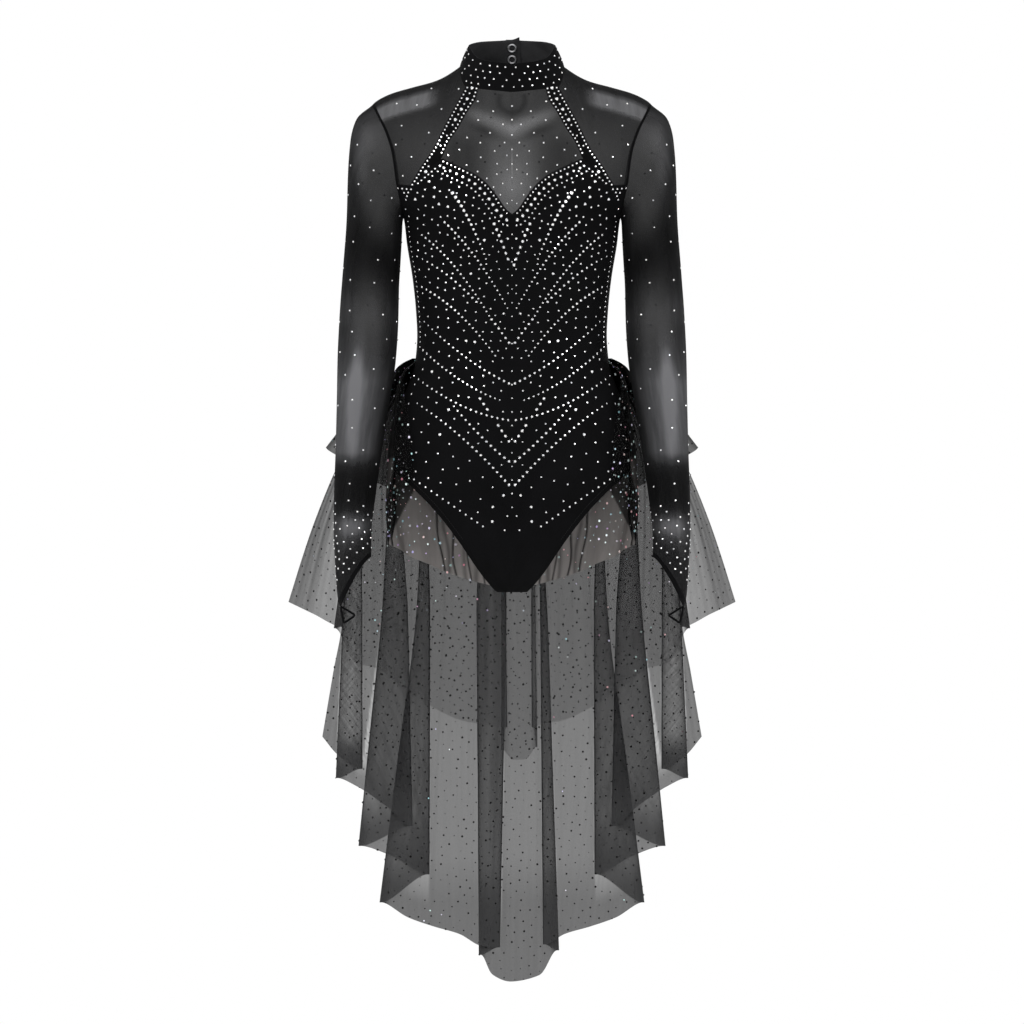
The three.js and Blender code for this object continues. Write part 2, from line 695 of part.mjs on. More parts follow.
// Skirt tiers. A level gives the tier's shape at one height: half is the width that the waist's own
// fullness reaches, reach and depth are the arc it hangs on, side is where that arc ends beside the arm,
// own is how far each fold has gone to its own place, and stack how far the folds have spread backwards.
const LONG = {
  step: 2,
  rows: [-369, -374, -381, -396, -420, -445, -465, -485, -510, -540, -700],
  levels: [
    { z: -369, half: 126.8, reach: 126.8, side: 0, depth: 90, own: 0, stack: 0 },
    { z: -374, half: 138, reach: 138, side: 3, depth: 101.5, own: 0, stack: 0.02 },
    { z: -381, half: 149.5, reach: 149.5, side: 9, depth: 113, own: 0, stack: 0.06 },
    { z: -396, half: 157, reach: 157, side: 24, depth: 121, own: 0, stack: 0.3 },
    { z: -440, half: 180, reach: 184, side: 55, depth: 126, own: 0.06, stack: 0.8 },
    { z: -540, half: 208, reach: 223, side: 75, depth: 140, own: 0.55, stack: 1 },
    { z: -700, half: 232, reach: 229, side: 105, depth: 150, own: 1, stack: 1 },
  ],
  hem: { reach: 257, side: 112, depth: 158 },
  hemRows: [0.5, 1],
  // angle: place on the waist in degrees from the centre back. knee: x at the last level.
  // x and z: the hem. turn: the sheet folds back on itself here, on the left side and mirrored.
  side: [
    { angle: 80, knee: 222, x: 250, z: -862 },
    { angle: 76.5, knee: 209, x: 229, z: -887 },
    { angle: 73, knee: 197, x: 197, z: -905, turn: true },
    { angle: 69, knee: 223, x: 233, z: -917, turn: true },
    { angle: 64, knee: 198, x: 205, z: -928 },
    { angle: 57, knee: 165, x: 164, z: -956 },
    { angle: 51, knee: 137, x: 131, z: -981, turn: true },
    { angle: 46, knee: 172, x: 203, z: -1007, turn: true },
    { angle: 40, knee: 138, x: 160, z: -1020 },
    { angle: 35, knee: 108, x: 109, z: -1045, turn: true },
    { angle: 31, knee: 127, x: 175.5, z: -1082, turn: true },
    { angle: 26, knee: 108, x: 137.6, z: -1102 },
    { angle: 21, knee: 88, x: 104, z: -1114 },
    { angle: 15.5, knee: 64, x: 70, z: -1124 },
  ],
  middle: [
    { angle: -11.5, knee: -36, x: -39.8, z: -1140 },
    { angle: -8.5, knee: -7, x: -15.7, z: -1142, turn: true },
    { angle: -5.5, knee: -47, x: -44, z: -1152, turn: true },
    { angle: -3.2, knee: -26, x: -26, z: -1178 },
    { angle: -0.8, knee: -4, x: -2, z: -1187.5 },
    { angle: 1.8, knee: 22, x: 36, z: -1179 },
    { angle: 4.6, knee: 47, x: 62.5, z: -1146, turn: true },
    { angle: 7.8, knee: 37, x: 41, z: -1138, turn: true },
  ],
  fold: 6,
};
const MIDDLE_TIER = {
  step: 1,
  rows: [-369, -374, -381, -396, -440, -480, -516, -600],
  levels: [
    { z: -369, half: 126.8, reach: 126.8, side: 0, depth: 90, own: 0, stack: 0 },
    { z: -374, half: 136, reach: 136, side: 2, depth: 98.5, own: 0, stack: 0.02 },
    { z: -381, half: 146.5, reach: 146.5, side: 5, depth: 108, own: 0, stack: 0.05 },
    { z: -396, half: 153, reach: 153, side: 15, depth: 114.5, own: 0, stack: 0.1 },
    { z: -440, half: 163, reach: 194, side: 22, depth: 119, own: 0.2, stack: 0.3 },
    { z: -516, half: 176, reach: 240, side: 26, depth: 128, own: 0.5, stack: 1 },
    { z: -600, half: 173, reach: 271, side: 22, depth: 128, own: 0.78, stack: 1 },
  ],
  hem: { reach: 299, side: 12, depth: 129 },
  hemRows: [1],
  side: [
    { angle: 80, x: 293.4, z: -684 },
    { angle: 73, x: 261, z: -700 },
    { angle: 67, x: 223, z: -717, turn: true },
    { angle: 62, x: 235, z: -719, turn: true },
    { angle: 55, x: 206, z: -764 },
    { angle: 48, x: 178, z: -772 },
    { angle: 41, x: 148, z: -795 },
    { angle: 34, x: 118, z: -815 },
    { angle: 27, x: 92, z: -830 },
    { angle: 20, x: 66, z: -841 },
    { angle: 13, x: 38, z: -846 },
  ],
  middle: [
    { angle: -7.5, x: -6, z: -850, turn: true },
    { angle: -4.5, x: -14, z: -880, turn: true },
    { angle: -1.5, x: 2, z: -893 },
    { angle: 1.5, x: 18, z: -892 },
    { angle: 4.5, x: 34, z: -876, turn: true },
    { angle: 7.5, x: 26, z: -850, turn: true },
  ],
  fold: 4,
};
// Columns of a tier from the right-hand edge to the left-hand one. Each turn becomes a small round of
// three columns, and each pass after it lies one fold further back until the middle is reached.
function tierColumns(tier) {
  const right = tier.side.map((row) => ({
    ...row,
    angle: -row.angle,
    knee: -(row.knee ?? row.x),
    x: -row.x,
  }));
  const middle = tier.middle.map((row) => ({ ...row, knee: row.knee ?? row.x }));
  const left = tier.side.map((row) => ({ ...row, knee: row.knee ?? row.x })).reverse();
  const rows = [...right, ...middle, ...left];
  const turns = rows.filter((row) => row.turn).length;
  const columns = [];
  let passed = 0;
  rows.forEach((row, i) => {
    const pass = Math.min(passed, turns - passed);
    if (!row.turn) {
      columns.push({ ...row, back: pass * tier.fold });
      return;
    }
    passed += 1;
    const next = Math.min(passed, turns - passed);
    const way = Math.sign(row.x - rows[i - 1].x);
    const round = tier.fold * 0.45;
    const kneeWay = Math.sign(row.knee - rows[i - 1].knee);
    for (const [share, shift, turn] of [
      [0.12, -1, -0.7],
      [0.5, 0, 0],
      [0.88, -1, 0.7],
    ])
      columns.push({
        ...row,
        angle: row.angle + turn,
        x: row.x + way * shift * round,
        knee: row.knee + kneeWay * shift * round,
        back: mix(pass, next, share) * tier.fold,
      });
  });
  return columns;
}
const LEVEL_SIZES = ["half", "reach", "side", "depth", "own", "stack"];
// The tier's shape at a height between its levels.
function levelAt(tier, z) {
  tier.lines ??= LEVEL_SIZES.map((size) => [size, smooth(tier.levels, "z", size)]);
  return { z, ...Object.fromEntries(tier.lines.map(([size, line]) => [size, line(z)])) };
}
function tierPlace(tier, column, row) {
  const lifted = tier.step * TIER_STEP;
  const start = TULLE / 2 + 0.4 + lifted;
  const sine = Math.sin(radians(column.angle));
  const arc = (x, level) => {
    const share = Math.min(Math.abs(x) / level.reach, 1);
    return level.side + (level.depth - level.side) * Math.sqrt(1 - share * share);
  };
  if (row < tier.rows.length) {
    const level = levelAt(tier, tier.rows[row]);
    const easing = row === 0 ? start : start * Math.max(0, 1 - row / 2);
    const grown = { ...level, reach: level.reach + easing, depth: level.depth + easing };
    const full = (level.half + easing) * sine;
    const x = mix(full, column.knee, level.own);
    return new THREE.Vector3(x, arc(x, grown) + level.stack * column.back, level.z + lifted);
  }
  const share = tier.hemRows[row - tier.rows.length];
  const last = tier.levels[tier.levels.length - 1];
  const lastX = mix(last.half * sine, column.knee, last.own);
  const high = arc(lastX, last) + last.stack * column.back;
  const low = arc(column.x, tier.hem) + column.back;
  return new THREE.Vector3(
    mix(lastX, column.x, share),
    mix(high, low, share),
    mix(last.z + lifted, column.z, share),
  );
}
function tierSheet(tier) {
  const columns = tierColumns(tier);
  const rows = tier.rows.length + tier.hemRows.length;
  return sheetOfGrid(rows, columns.length, (row, column) => tierPlace(tier, columns[column], row));
}
const inTulle = { outward: TULLE / 2, inward: TULLE / 2 };
piece("skirt_long_tier", "tulle", wall(tierSheet(LONG), inTulle));
piece("skirt_middle_tier", "tulle", wall(tierSheet(MIDDLE_TIER), inTulle));

// The two short tiers, gathered into even waves. edge is the angle round the body, from the centre back,
// that the free front edges reach at each height; side, front and back are depths, and wave the ripple.
// The inner ruffle lies next to the body, with its front edges over the front of the hips.
const RUFFLE = {
  step: 0,
  waves: 9,
  columns: 45,
  levels: [
    { z: -369, half: 126.8, side: 0, front: 88, back: 90, edge: 104, wave: 0 },
    { z: -374, half: 134, side: 0, front: 94, back: 96, edge: 104.5, wave: 0.3 },
    { z: -381, half: 142, side: 0, front: 98, back: 103.5, edge: 105, wave: 0.6 },
    { z: -396, half: 148.5, side: 0, front: 101, back: 109, edge: 109, wave: 1 },
    { z: -430, half: 154, side: 0, front: 106, back: 114, edge: 118, wave: 1 },
    { z: -510, half: 163.5, side: 0, front: 107, back: 122.5, edge: 128.5, wave: 1.2 },
    { z: -560, half: 164, side: 0, front: 104, back: 122.5, edge: 114, wave: 1.8 },
  ],
  hem: { half: 163, side: 0, front: 100, back: 123, edge: 99, wave: 2.4 },
  hemLine: [
    { share: 0, z: -668 },
    { share: 0.2, z: -656 },
    { share: 0.42, z: -636 },
    { share: 0.66, z: -616 },
    { share: 0.86, z: -604 },
    { share: 1, z: -598.7 },
  ],
};
// The top frill is the outermost tier; its corners show beside the elbows.
const FRILL = {
  step: 3,
  waves: 7,
  columns: 43,
  levels: [
    { z: -369, half: 126.8, side: 0, front: 0, back: 90, edge: 80, wave: 0 },
    { z: -374, half: 140.5, side: 4, front: 0, back: 105, edge: 80, wave: 0.2 },
    { z: -381, half: 152.5, side: 14, front: 0, back: 120.5, edge: 80, wave: 0.6 },
    { z: -396, half: 162, side: 36, front: 0, back: 142, edge: 80, wave: 1.2 },
    { z: -430, half: 201, side: 66, front: 0, back: 173, edge: 80, wave: 2.5 },
  ],
  hem: { half: 243, side: 84, front: 0, back: 210, edge: 80, wave: 6 },
  hemLine: [
    { share: 0, z: -560 },
    { share: 0.25, z: -556 },
    { share: 0.5, z: -538 },
    { share: 0.75, z: -511 },
    { share: 1, z: -481 },
  ],
};
function wavySheet(tier) {
  const hemZ = smooth(tier.hemLine, "share", "z");
  const lifted = tier.step * TIER_STEP;
  return sheetOfGrid(tier.levels.length + 1, tier.columns, (row, column) => {
    const share = (2 * column) / (tier.columns - 1) - 1;
    const level = tier.levels[row] ?? { ...tier.hem, z: hemZ(Math.abs(share)) - lifted };
    const turn = radians(level.edge * share);
    const ripple = -level.wave * Math.cos(Math.PI * tier.waves * share);
    const start = (TULLE / 2 + 0.4 + lifted) * Math.max(0, 1 - row / 2);
    const depth = Math.cos(turn) > 0 ? level.back - level.side : level.front;
    return new THREE.Vector3(
      (level.half + start + ripple) * Math.sin(turn),
      level.side + (depth + start + ripple) * Math.cos(turn),
      level.z + lifted,
    );
  });
}
piece("skirt_inner_ruffle", "tulle", wall(wavySheet(RUFFLE), inTulle));
piece("skirt_top_frill", "tulle", wall(wavySheet(FRILL), inTulle));

export default dress;
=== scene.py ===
import bmesh
import bpy
import numpy as np
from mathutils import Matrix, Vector


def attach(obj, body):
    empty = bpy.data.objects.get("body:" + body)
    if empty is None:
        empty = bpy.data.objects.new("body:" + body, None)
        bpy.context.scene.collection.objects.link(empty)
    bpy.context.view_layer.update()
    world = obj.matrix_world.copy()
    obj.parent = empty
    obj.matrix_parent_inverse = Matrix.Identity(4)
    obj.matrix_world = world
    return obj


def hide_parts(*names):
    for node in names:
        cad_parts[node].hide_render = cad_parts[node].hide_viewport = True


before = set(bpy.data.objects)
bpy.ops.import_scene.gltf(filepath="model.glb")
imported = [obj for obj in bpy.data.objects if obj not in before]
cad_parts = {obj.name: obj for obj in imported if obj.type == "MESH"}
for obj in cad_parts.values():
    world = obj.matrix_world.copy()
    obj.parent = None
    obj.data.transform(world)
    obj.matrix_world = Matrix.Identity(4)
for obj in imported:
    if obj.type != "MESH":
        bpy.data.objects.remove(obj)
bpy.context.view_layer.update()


# Front yoke: the sheer panel of fine stretch mesh between the straps, above the sweetheart neckline.
# It is cut in one piece and sewn to the collar, the straps and the bodice, and takes the chest's form.
def table(names, *rows):
    """Named columns of numbers."""
    return dict(zip(names.split(), np.array(rows, float).T))


def smooth(at, value):
    """A smooth line through the values, which never swings past them."""
    order = np.argsort(at)
    at = np.asarray(at, float)[order]
    value = np.asarray(value, float)[order]
    step = np.diff(at)
    every = (slice(None),) + (None,) * (value.ndim - 1)
    rise = np.diff(value, axis=0) / step[every]
    slope = np.concatenate([rise[:1], rise[:-1] * 0, rise[-1:]])
    same_way = rise[:-1] * rise[1:] > 0
    slope[1:-1] = np.where(
        same_way, 2 * rise[:-1] * rise[1:] / np.where(same_way, rise[:-1] + rise[1:], 1), 0
    )

    def line(place):
        place = np.clip(place, at[0], at[-1])
        i = np.clip(np.searchsorted(at, place, "right") - 1, 0, len(at) - 2)
        tail = (...,) + (None,) * (value.ndim - 1)
        width = step[i][tail]
        t = ((place - at[i]) / step[i])[tail]
        ease = t * t * (3 - 2 * t)
        bend = t * (1 - t) * width
        straight = value[i] + (value[i + 1] - value[i]) * ease
        return straight + bend * ((1 - t) * slope[i] - t * slope[i + 1])

    return line


def mix(a, b, share):
    return a + (b - a) * share


def spread(start, end, count):
    return np.linspace(start, end, count)


def rising(value, start, end):
    """0 at the start, 1 at the end, and even between them."""
    return np.clip((value - start) / (end - start), 0, 1)


def bell(value, middle=0, width=1, power=2):
    """1 at the middle, falling away smoothly on both sides."""
    return np.exp(-(((value - middle) / width) ** power))


def run_of(places):
    """The distance along a line of places, from its start."""
    return np.concatenate([[0], np.cumsum(np.linalg.norm(np.diff(places, axis=0), axis=1))])


def flat_line(*corners):
    """A smooth line through flat places, by the share of its length."""
    corners = np.array(corners, float)
    run = run_of(corners)
    through = smooth(run / run[-1], corners)
    return lambda share: through(np.asarray(share, float))


TORSO = table(
    "z half front back",
    (60, 205, 40, 45),
    (20, 203, 52, 58),
    (-20, 202, 63, 72),
    (-60, 197, 79, 89),
    (-93, 190, 90, 98),
    (-133, 175, 96, 103),
    (-160, 158, 98, 102),
    (-181, 142, 98, 98),
    (-215, 137.6, 93, 92),
    (-262, 130, 90, 84),
    (-300, 126, 86, 80),
    (-335, 124.2, 84, 80),
    (-369, 126.8, 88, 90),
    (-420, 143, 97, 106),
    (-470, 152.5, 102, 116),
    (-511, 156, 102, 118),
    (-560, 156, 96, 112),
    (-610, 152, 82, 95),
    (-645, 148, 58, 66),
    (-662, 146, 33, 36),
    (-669, 145, 12, 13),
    (-671, 145, 0, 0),
)
SHOULDER = table(
    "x z",
    (0, 60),
    (40, 46),
    (68.6, 17),
    (99, -1),
    (131, -10),
    (158, -18),
    (177, -27.5),
    (183.4, -33.4),
    (205, -70),
)
SHOULDER_ROUND = 80
CUP = dict(x=62, z=-172, wide=40, tall=44, out=16)
torso_half = smooth(TORSO["z"], TORSO["half"])
torso_front = smooth(TORSO["z"], TORSO["front"])
torso_back = smooth(TORSO["z"], TORSO["back"])
shoulder_z = smooth(SHOULDER["x"], SHOULDER["z"])


def depth_squared(x, z, back):
    across = x / torso_half(z)
    cup = bell(np.abs(x), CUP["x"], CUP["wide"]) * bell(z, CUP["z"], CUP["tall"])
    deep = torso_back(z) if back else torso_front(z) + CUP["out"] * cup
    below = np.minimum((shoulder_z(np.abs(x)) - z) / SHOULDER_ROUND, 1)
    return deep**2 * (1 - across**2) * (1 - (1 - below) ** 2)


def on_torso(flat, back=False, lift=0.0):
    """Places on the front or back from flat ones (x, z), lifted off the cloth, and the way out there."""
    x, z = flat[..., 0], flat[..., 1]
    depth = np.sqrt(np.maximum(depth_squared(x, z, back), 0))
    y = depth if back else -depth
    reach = 0.05
    across = depth_squared(x + reach, z, back) - depth_squared(x - reach, z, back)
    up = depth_squared(x, z + reach, back) - depth_squared(x, z - reach, back)
    out = np.stack([-across / (2 * reach), 2 * y, -up / (2 * reach)], -1)
    out = out / np.maximum(np.linalg.norm(out, axis=-1, keepdims=True), 1e-9)
    return np.stack([x, y, z], -1) + lift * out, out


def panel_grid(left, right, top, bottom):
    """Flat places of a four-sided panel. Its left and right edges run down, its top and bottom across."""
    u = run_of(bottom)[None, :, None]
    v = run_of(right)[:, None, None]
    u, v = u / u.max(), v / v.max()
    sides = mix(left[:, None], right[:, None], u)
    ends = mix(top[None], bottom[None], v)
    corners = mix(mix(left[0], right[0], u), mix(left[-1], right[-1], u), v)
    return sides + ends - corners


def linked(name, data):
    made = bpy.data.objects.new(name, data)
    bpy.context.collection.objects.link(made)
    return made


def mark(mesh, name, values, kind="FLOAT"):
    """Keeps a value or a direction at every point of a mesh."""
    field = "vector" if kind == "FLOAT_VECTOR" else "value"
    kept = mesh.attributes.new(name, kind, "POINT")
    kept.data.foreach_set(field, np.asarray(values, np.float32).ravel())


def sheet(name, grid, core=(0, 0), around=False, thick=0.0, **marks):
    """A sheet of cloth through a grid of places, facing away from the core, with its length as UVs.

    Marks are values kept at every place, such as how slack the cloth is there."""
    points = np.asarray(grid) / 1000
    rows, columns = points.shape[:2]
    closed = np.concatenate([points, points[:, :1]], 1) if around else points
    along = np.linalg.norm(np.diff(closed, axis=1), axis=2)
    down = np.linalg.norm(np.diff(closed, axis=0), axis=2)
    u = np.concatenate([np.zeros((rows, 1)), np.cumsum(along, 1)], 1)
    u -= u[:, u.shape[1] // 2][:, None]
    v = np.concatenate([np.zeros((1, closed.shape[1])), np.cumsum(down, 0)])
    number = np.arange(rows * columns).reshape(rows, columns)
    beside = np.concatenate([number[:, 1:], number[:, :1]], 1) if around else number[:, 1:]
    here = number if around else number[:, :-1]
    corners = [here[:-1], beside[:-1], beside[1:], here[1:]]
    quads = np.stack(corners, -1).reshape(-1, 4)
    width = beside.shape[1]
    uv = np.stack([u, v], -1)
    spots = [uv[:-1, :width], uv[:-1, 1 : width + 1], uv[1:, 1 : width + 1], uv[1:, :width]]
    places = np.stack(spots, 2).reshape(-1, 4, 2)
    flat = points.reshape(-1, 3)
    first = flat[quads[:, 2]] - flat[quads[:, 0]]
    second = flat[quads[:, 3]] - flat[quads[:, 1]]
    away = flat[quads].mean(1) - np.array([core[0] / 1000, core[1] / 1000, 0])
    away[:, 2] = 0
    if (np.cross(first, second) * away).sum() < 0:
        quads, places = quads[:, ::-1], places[:, ::-1]
    mesh = bpy.data.meshes.new(name)
    mesh.from_pydata(flat.tolist(), [], quads.tolist())
    mesh.uv_layers.new(name="cloth").data.foreach_set("uv", places.reshape(-1))
    mesh.polygons.foreach_set("use_smooth", np.ones(len(quads), bool))
    for label, values in marks.items():
        mark(mesh, label, np.broadcast_to(values, (rows, columns)))
    made = linked(name, mesh)
    if thick:
        wall = made.modifiers.new("wall", "SOLIDIFY")
        wall.thickness = thick / 1000
        wall.offset = -1
        wall.use_even_offset = False
    return made


class Socket:
    """A value in a material's nodes, so that a pattern is written as plain sums."""

    def __init__(self, finish, link):
        self.finish = finish
        self.link = link

    def sum(self, operation, *values):
        return self.finish.node("Math", dict(operation=operation), dict(enumerate(values)))

    def __add__(self, other):
        return self.sum("ADD", self, other)

    def __sub__(self, other):
        return self.sum("SUBTRACT", self, other)

    def __rsub__(self, other):
        return self.sum("SUBTRACT", other, self)

    def __mul__(self, other):
        return self.sum("MULTIPLY", self, other)

    def __rtruediv__(self, other):
        return self.sum("DIVIDE", other, self)

    def __pow__(self, other):
        return self.sum("POWER", self, other)

    __radd__ = __add__
    __rmul__ = __mul__

    def at_least(self, limit):
        return self.sum("MAXIMUM", self, limit)

    def at_most(self, limit):
        return self.sum("MINIMUM", self, limit)

    def wave(self):
        return self.sum("SINE", self)


class Finish:
    """A material under construction: its shader's plain values, and nodes for what varies."""

    def __init__(self, name, **plain):
        self.material = bpy.data.materials.new(name)
        self.material.use_nodes = True
        self.tree = self.material.node_tree
        self.shader = self.tree.nodes["Principled BSDF"]
        for socket, value in plain.items():
            self.shader.inputs[socket.replace("_", " ")].default_value = value

    def node(self, kind, settings=None, inputs=None, output=0):
        made = self.tree.nodes.new("ShaderNode" + kind)
        for name, value in (settings or {}).items():
            if name == "stops":
                for i, (place, colour) in enumerate(value):
                    stops = made.color_ramp.elements
                    stop = stops[i] if i < len(stops) else stops.new(place)
                    stop.position, stop.color = place, (*colour, 1)
            else:
                setattr(made, name, value)
        for key, value in (inputs or {}).items():
            self.put(made.inputs[key], value)
        return Socket(self, made.outputs[output])

    def put(self, socket, value):
        if isinstance(value, Socket):
            self.tree.links.new(value.link, socket)
        else:
            socket.default_value = value

    def set(self, name, value):
        self.put(self.shader.inputs[name], value)

    def marked(self, name):
        """A value that the piece's mesh keeps."""
        return self.node("Attribute", dict(attribute_name=name), None, "Fac")

    def noise(self, place, scale, detail=2.0):
        return self.node("TexNoise", None, {"Vector": place, "Scale": scale, "Detail": detail}, "Fac")

    def coloured(self, share, *stops):
        """Sets the colour by a share, from (share, colour) stops, and gives it."""
        colour = self.node("ValToRGB", dict(stops=stops), {"Fac": share})
        self.set("Base Color", colour)
        return colour

    def cloth_place(self):
        """The place on the cloth in metres, along and across the grain."""
        uv = self.node("UVMap", dict(uv_map="cloth"))
        along, across = (self.node("SeparateXYZ", None, {0: uv}, axis) for axis in "XY")
        return uv, along, across

    def object_place(self):
        return self.node("TexCoord", None, None, "Object")

    def bump(self, height, distance):
        inputs = {"Height": height, "Distance": distance, "Strength": 1.0}
        self.set("Normal", self.node("Bump", None, inputs))

    def facing(self):
        """1 where the cloth is seen square on, down to 0 where it is seen along itself."""
        turned = self.node("LayerWeight", None, {"Blend": 0.5}, "Facing")
        return (1 - turned).at_least(0.06)


FULL_TURN = 6.2832


def sheer(finish, through, thread, uneven, streak, lined=0.0):
    """Lets light through the cloth: less where it is slack or seen aslant, and more where it is pulled
    thin. Dark lines can run down the thin parts."""
    uv, along, across = finish.cloth_place()
    drawn = finish.node("Mapping", None, {"Vector": uv, "Scale": streak})
    cloud = finish.noise(drawn, 1.0, 3.0)
    slack = finish.marked("slack")
    lines = ((cloud - 0.44) * 6).at_least(0).at_most(1) * lined
    passed = through * (1 - slack + slack.at_most(0) * lines)
    passed = (passed + (cloud - 0.5) * uneven).at_least(0.004)
    finish.set("Alpha", 1 - passed ** (1 / finish.facing()))
    turn = FULL_TURN / thread
    yarns = (along * turn).wave() * (across * turn).wave()
    finish.bump(yarns, 0.0002)
    return cloud, yarns, slack


MESH_THREAD = 0.00075  # metres between the yarns of the fine mesh
MESH_THROUGH = 0.37  # the share of light that unstretched mesh lets through
mesh_cloth = Finish("fine_stretch_mesh", Roughness=0.9, Specular_IOR_Level=0.06)
cloud, yarns, slack = sheer(mesh_cloth, MESH_THROUGH, MESH_THREAD, uneven=0.1, streak=(70, 9, 1))
# The mesh's colour holds painted light: it is painted darker where the mesh is slack, as painted shade,
# and lighter where it is pulled thin or carries the painted highlight mark. The cloud and the yarns are
# its own uneven tone.
painted_shade_and_tone = slack * 0.7 + 0.3 - mesh_cloth.marked("painted_highlight") + (cloud - 0.5) * 0.4 + yarns * 0.04
tones = [(0, 0.2), (0.3, 0.06), (0.6, 0.016), (1, 0.003)]
mesh_cloth.coloured(painted_shade_and_tone, *[(at, (tone, tone, tone * 1.05)) for at, tone in tones])


def sewn(piece, finish, slot, replaces=(), **cut):
    """Gives a piece its cloth and puts it in the place of its solids. How it was cut is given but not
    used.
    """
    piece.data.materials.append(finish.material)
    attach(piece, "root")
    if replaces:
        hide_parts(*replaces)
    return piece


NECK_HALF = 68.6
NECK = table(
    "turn z",
    (0, -17.7),
    (30, -14.2),
    (60, -11),
    (76, 2),
    (90, 17),
    (112, 17),
    (135, 12),
    (157, 8),
    (180, 6),
)
neck_z = smooth(NECK["turn"], NECK["z"])


def neck(turn):
    """The neck seam, by degrees from the centre front."""
    return np.stack([NECK_HALF * np.sin(np.radians(turn)), neck_z(turn)], -1)


strap_inner = flat_line(neck(40), (47.7, -25.4), (60.4, -46.1), (71, -65.5), (81.7, -81.5), (92, -104))
SWEETHEART = table(
    "x z",
    (0, -177.5),
    (7.7, -171),
    (19.8, -153.4),
    (33, -137.4),
    (47.8, -125.5),
    (61.2, -118.7),
    (85, -107.4),
    (92, -104),
)
sweetheart = smooth(SWEETHEART["x"], SWEETHEART["z"])
mirror = np.array([-1, 1])


def both_ways(half):
    """A line from the centre out, with its like on the right-hand side before it."""
    return np.concatenate([half[:0:-1] * mirror, half])


def yoke_front_grid(rows, columns):
    edge = strap_inner(spread(0, 1, rows))
    top = both_ways(neck(spread(0, 40, columns)))
    x = spread(0, 92, columns)
    bottom = both_ways(np.stack([x, sweetheart(x)], -1))
    return panel_grid(edge * mirror, edge, top, bottom)


def chest_tones(flat):
    """How slack the mesh is, and where its colour is painted lighter as a painted highlight. It is slack
    under the collar, beside the straps and towards the underarm, and pulled thin in a soft V below the
    collar, down the middle and on the shoulders, where the painted highlight lies too."""
    x, z = np.abs(flat[..., 0]), flat[..., 1]
    below_ridge = shoulder_z(x) - z
    loop = bell(np.hypot(x, z + 28), 17, 4) * (z < -20)
    vee = bell(z - x * 0.36, -65, 10) * bell(x, 0, 58, 4)
    under = bell(z - x * 0.42, -84, 6) * bell(x, 30, 22)
    column = bell(x, 0, 32, 4) * rising(z, -60, -74)
    point = bell(x, 0, 24) * bell(z, -138, 26)
    ridge = rising(below_ridge, 6, 14) * rising(below_ridge, 36, 29) * rising(x, 92, 108)
    thin = 0.62 * vee + 0.26 * column + 0.28 * point + 0.45 * ridge
    beside_strap = rising(x, 32, 57) * rising(z, -70, -90) * rising(x, 96, 76)
    slack = np.clip(0.6 - thin + 0.16 * loop + 0.2 * under + 0.14 * beside_strap, -0.1, 0.9)
    return dict(slack=slack, painted_highlight=0.04 * vee + 0.02 * column + 0.06 * point + 0.22 * ridge)


flat = yoke_front_grid(rows=50, columns=50)
yoke_front = sheet("yoke_front_mesh", on_torso(flat)[0], **chest_tones(flat))
sewn(
    yoke_front, mesh_cloth, "mesh", ["yoke_front"],
    flat=(0.19, 0.17), area=0.019, held="stretched", rests_on=["collar", "body_front"],
)


# Halter straps: opaque knit bands from the collar to the bodice, cut on the bias and sewn between
# the yoke and the shoulder mesh. They carry the bodice.
KNIT_STITCH = 0.0011  # metres from rib to rib
knit = Finish("matt_stretch_knit", Roughness=0.85, Specular_IOR_Level=0.07)
uv, along, across = knit.cloth_place()
turn = FULL_TURN / KNIT_STITCH
ribs = (along * turn).wave() + (across * (turn * 0.8)).wave() * 0.6
knit.coloured(
    (knit.noise(uv, 14.0, 4.0) + ribs * 0.08) * 0.6 + knit.marked("lining"),
    (0.15, (0.0012, 0.0012, 0.0014)),
    (0.5, (0.0034, 0.0034, 0.004)),
    (0.65, (0.0034, 0.0034, 0.004)),
    (1.0, (0.05, 0.05, 0.052)),
)
knit.bump(ribs, 0.00015)
strap_outer = flat_line(
    neck(62), (85.8, -57.5), (103, -92.2), (117.9, -113.6), (129.8, -133.6), (134, -139.6)
)
ARMHOLE = table(
    "z x",
    (-33.4, 183.4),
    (-46.8, 176.9),
    (-62.9, 168.6),
    (-76, 163.4),
    (-93.5, 158),
    (-113.6, 154.6),
    (-133.6, 152),
    (-158, 147),
    (-181, 142),
)
armhole_x = smooth(ARMHOLE["z"], ARMHOLE["x"])
ARM_STEPS = 11


def armhole(step):
    """The armhole seam, from the shoulder at step 0 to the underarm at step 11."""
    z = mix(-33.4, -181, (1 - np.cos(np.pi * np.asarray(step, float) / ARM_STEPS)) / 2)
    return np.stack([armhole_x(z), z], -1)


BODICE_TOP = armhole(7)


def bodice_top(share):
    """The bodice's top edge: the sweetheart neckline, the foot of the strap, then to the armhole."""
    x = BODICE_TOP[0] * np.asarray(share, float)
    strap = mix(-104, -139.6, (x - 92) / 42)
    side = mix(-139.6, BODICE_TOP[1], (x - 134) / (BODICE_TOP[0] - 134))
    return np.stack([x, np.where(x <= 92, sweetheart(x), np.where(x <= 134, strap, side))], -1)


for side, name in ((1, "left"), (-1, "right")):
    rows = spread(0, 1, 50)
    foot = bodice_top(spread(92, 134, 12) / BODICE_TOP[0])
    flat = panel_grid(strap_inner(rows), strap_outer(rows), neck(spread(40, 62, 12)), foot)
    strap = sheet(f"halter_strap_{name}_cloth", on_torso(flat * (side, 1))[0], thick=1.0)
    sewn(
        strap, knit, "knit", [f"halter_strap_{name}"],
        flat=(0.04, 0.13), area=0.0024, held="stretched", rests_on=["collar", "body_front"],
    )


